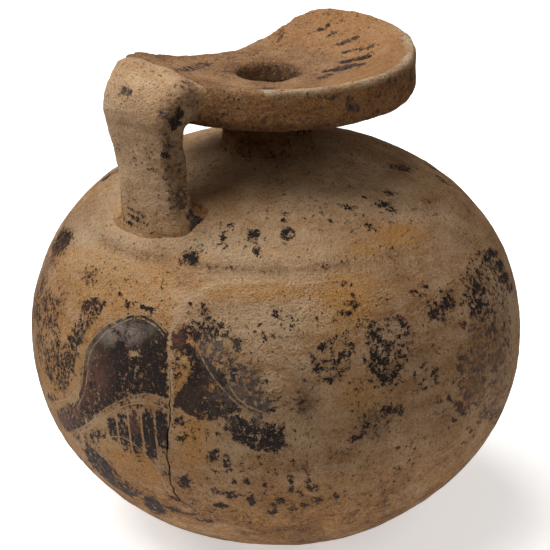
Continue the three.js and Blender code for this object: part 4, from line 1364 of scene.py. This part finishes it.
    def model_joins(self, whole: Piece) -> None:
        """Smooth the wet clay over the joins, then let age roughen it all."""
        spots = vertex_places(whole)
        from_axis = np.hypot(spots[:, 0] + self.offset, spots[:, 1])
        near_rim = soft_step(np.abs(from_axis - self.radius - 0.5), 6.5, 1.5)
        at_root = near_rim * soft_step(-spots[:, 0], 23, 29) * soft_step(spots[:, 2], 101, 104)
        at_root *= 1 - 0.6 * soft_step(spots[:, 2], 114.5, 117)
        over_foot = soft_step(np.abs(spots[:, 2] - self.foot - 2), 8.0, 2.0) * 0.7
        weigh(whole, "root", at_root)
        weigh(whole, "foot", over_foot)
        rub(whole, 140, "root")
        rub(whole, 40, "foot")
        roughen(whole, (16, 0.6), (4, 0.34), (1.7, 0.2))

    def part(self, whole: Piece, globe: Globe) -> list[Piece]:
        """Part the soft shape along the disc's rim and along the pad's upper face.

        Args:
            whole: disc, strap and pad in one.
            globe: the body.

        Returns:
            The three pieces.
        """
        middle = self.underside + self.edge
        rim_cut = upright_rod(self.radius + self.rim_gap, 40, -self.offset, middle, self.rim_sides)
        layer = globe.solid(self.pad_height + self.pad_gap)
        strap, pad = copy_of(whole, "strap_handle_clay"), copy_of(whole, "handle_pad_clay")
        cut_with(whole, rim_cut, Kind.KEEP, keep_cutter=True)
        whole.name = "mouth_disc_clay"
        cut_with(strap, rim_cut, Kind.CUT)
        cut_with(strap, layer, Kind.CUT, keep_cutter=True)
        cut_with(pad, layer, Kind.KEEP)
        for piece, node, slot in ((whole, "mouth_disc", Clay.PLAIN), (strap, "strap_handle", Clay.HANDLE),
                                  (pad, "handle_pad", Clay.HANDLE)):
            self.stain_and_shade(piece)
            settle(piece, node, slot=slot)
        return [whole, strap, pad]

    def stain_and_shade(self, piece: Piece) -> None:
        """Lay what is left of the slip, the stains, the pale, crusted band along the rim and painted shade on
        the disc and the handle.
        """
        spots = vertex_places(piece)
        x, y, z = spots.T
        away = np.hypot(x + self.offset, y)
        azimuth = bearing(x + self.offset, y)
        top = soft_step(z, self.underside + 3.4, self.underside + 5.2)
        on_disc = x > self.disc_end
        # The disc's outer edge face, which gets little of the light from above, darker, browner and warmer
        # than its top: partly a dark wash, partly painted shade
        side = soft_step(away, self.radius - 3, self.radius - 0.8) * soft_step(-z, -116.6, -115.0) * on_disc
        rim = soft_step(away, self.radius - 3.4, self.radius - 1.2) * soft_step(z, 114.8, 116.6)
        # The handle's near side face darker and browner: partly dark slip, partly painted shade beside the
        # disc's overhang
        strap_side = soft_step(-y, 6.5, 8.5) * ~on_disc
        # Painted shade on the disc's underside
        under = soft_step(-z, -109, -107) * on_disc
        slip = np.maximum.reduce([0.12 + 0.16 * side + 0.14 * strap_side,
                                  *(stroke.on(spots) for stroke in (*DISC_STROKES, *HANDLE_STROKES))])
        give(piece, "slip", slip)
        give(piece, "deposit_and_highlight", rim * soft_step(np.cos(np.radians(azimuth - 34)), -0.1, 0.4) * (x > -27))
        # Painted shade in the bore
        inside = soft_step(-away, -self.bore - 1.2, -self.bore - 0.1)
        give(piece, "stain_and_shade", np.clip(0.62 * side + 0.7 * strap_side + 0.5 * under + inside, 0, 1))
        low = soft_step(-z, -92, -82) * ~on_disc
        warm = 0.9 * side + 0.5 * top * soft_step(away, 12, 24) * soft_step(azimuth, 10, 50) + 0.6 * low
        give(piece, "ochre_and_shade", np.clip(warm, 0, 1))
        give(piece, "bloom", np.full(len(spots), 0.3))


# Studio


@dataclass(frozen=True)
class Lamp:
    """One square soft light that looks at the flask, in degrees, metres and watts."""

    name: str
    azimuth: float
    height: float
    distance: float
    size: float
    power: float


@dataclass
class Studio:
    """A plain pale floor, soft light from the upper left, and the camera."""

    centre: float = 47.7
    elevation: float = 21.0
    distance: float = 805.0
    lens: float = 222.6
    raised: float = 0.881
    turned: float = 0.017
    board: tuple[float, float] = (260.0, 560.0)
    board_colour: str = "#f2f2f2"
    board_glow: float = 0.5
    wall_colour: tuple[float, ...] = (1.0, 0.86, 0.7, 1)
    wall_light: float = 0.12
    lamps: tuple[Lamp, ...] = (
        Lamp("key", FRONT - 72, 70, 1.0, 0.8, 12.6),
        Lamp("side", FRONT - 76, 38, 1.1, 0.5, 4.0),
        Lamp("fill", FRONT + 60, 38, 1.1, 0.6, 2.3),
    )

    def build(self) -> None:
        """Set up the floor, the light and the camera."""
        self.floor()
        self.light()
        self.camera()

    def floor(self) -> None:
        """Lay a white board that reaches just past the view."""
        face = Globe.facing()[1]
        leave_all()
        bpy.ops.mesh.primitive_grid_add(
            x_subdivisions=6, y_subdivisions=12, size=MM, location=-face * 0.33 * self.board[1] * MM,
            rotation=(0, 0, math.radians(FRONT + 90)), scale=(1, 1, 1),
        )
        floor = bpy.context.object
        floor.name = "floor"
        floor.scale = (self.board[0], self.board[1], 1)
        bpy.ops.object.transform_apply(location=True, rotation=True, scale=True)
        board = bpy.data.materials.new("matt_white_board")
        board.use_nodes = True
        shader = board.node_tree.nodes["Principled BSDF"]
        shader.inputs["Base Color"].default_value = linear(self.board_colour)
        shader.inputs["Roughness"].default_value = 0.9
        shader.inputs["Specular IOR Level"].default_value = 0.1
        shader.inputs["Emission Color"].default_value = (1, 1, 1, 1)
        shader.inputs["Emission Strength"].default_value = self.board_glow
        floor.data.materials.append(board)

    def light(self) -> None:
        """Hang a strong soft light high at the left and two weak ones lower down, and leave the walls dim."""
        target = Vector((0, 0, self.centre * MM))
        for lamp in self.lamps:
            way = toward(lamp.azimuth, lamp.height)
            leave_all()
            bpy.ops.object.light_add(type="AREA", location=target + way * lamp.distance)
            hung = bpy.context.object
            hung.name = lamp.name
            hung.data.size = lamp.size
            hung.data.energy = lamp.power
            hung.rotation_euler = way.to_track_quat("Z", "Y").to_euler()
        world = bpy.data.worlds.new("dim_walls")
        world.use_nodes = True
        back = world.node_tree.nodes["Background"]
        back.inputs["Color"].default_value = self.wall_colour
        back.inputs["Strength"].default_value = self.wall_light
        bpy.context.scene.world = world
        bpy.context.scene.view_settings.view_transform = "Standard"

    def camera(self) -> None:
        """Put the camera at the photograph's viewing angle."""
        face = Globe.facing()[1]
        up = math.radians(self.elevation)
        way = face * math.cos(up) + Vector((0, 0, math.sin(up)))
        place = Vector((0, 0, self.centre)) + way * self.distance
        back = toward(FRONT + self.turned, self.elevation - self.raised)
        leave_all()
        bpy.ops.object.camera_add(location=place * MM)
        camera = bpy.context.object
        camera.data.lens = self.lens
        camera.data.sensor_width = 36.0
        camera.rotation_euler = back.to_track_quat("Z", "Y").to_euler()
        bpy.context.scene.camera = camera


def main() -> None:
    """Build the flask, dress it and set up the studio."""
    logging.basicConfig(level=logging.INFO, format="%(name)s: %(message)s")
    globe, crown = Globe(), Crown()
    body = globe.build(crown.foot_outline())
    neck = Neck().build()
    disc, strap, pad = crown.build(globe)
    painted = WornSlip("fired_clay_with_worn_slip", incisions=len(INCISED)).material()
    plain = WornSlip("fired_clay_disc", pale="#a5805b", deep="#724e31", ochre_and_shade="#a06c38").material()
    handle = WornSlip("fired_clay_handle", pale="#cbab88", deep="#9f7b57").material()
    for piece, finish in (*((p, painted) for p in body), *((p, plain) for p in neck), (disc, plain),
                          (strap, handle), (pad, handle)):
        piece.data.materials.clear()
        piece.data.materials.append(finish)
        log.info("%s: %d faces, %s", piece.name, len(piece.data.polygons), finish.name)
    Studio().build()


if __name__ == "__main__":
    main()
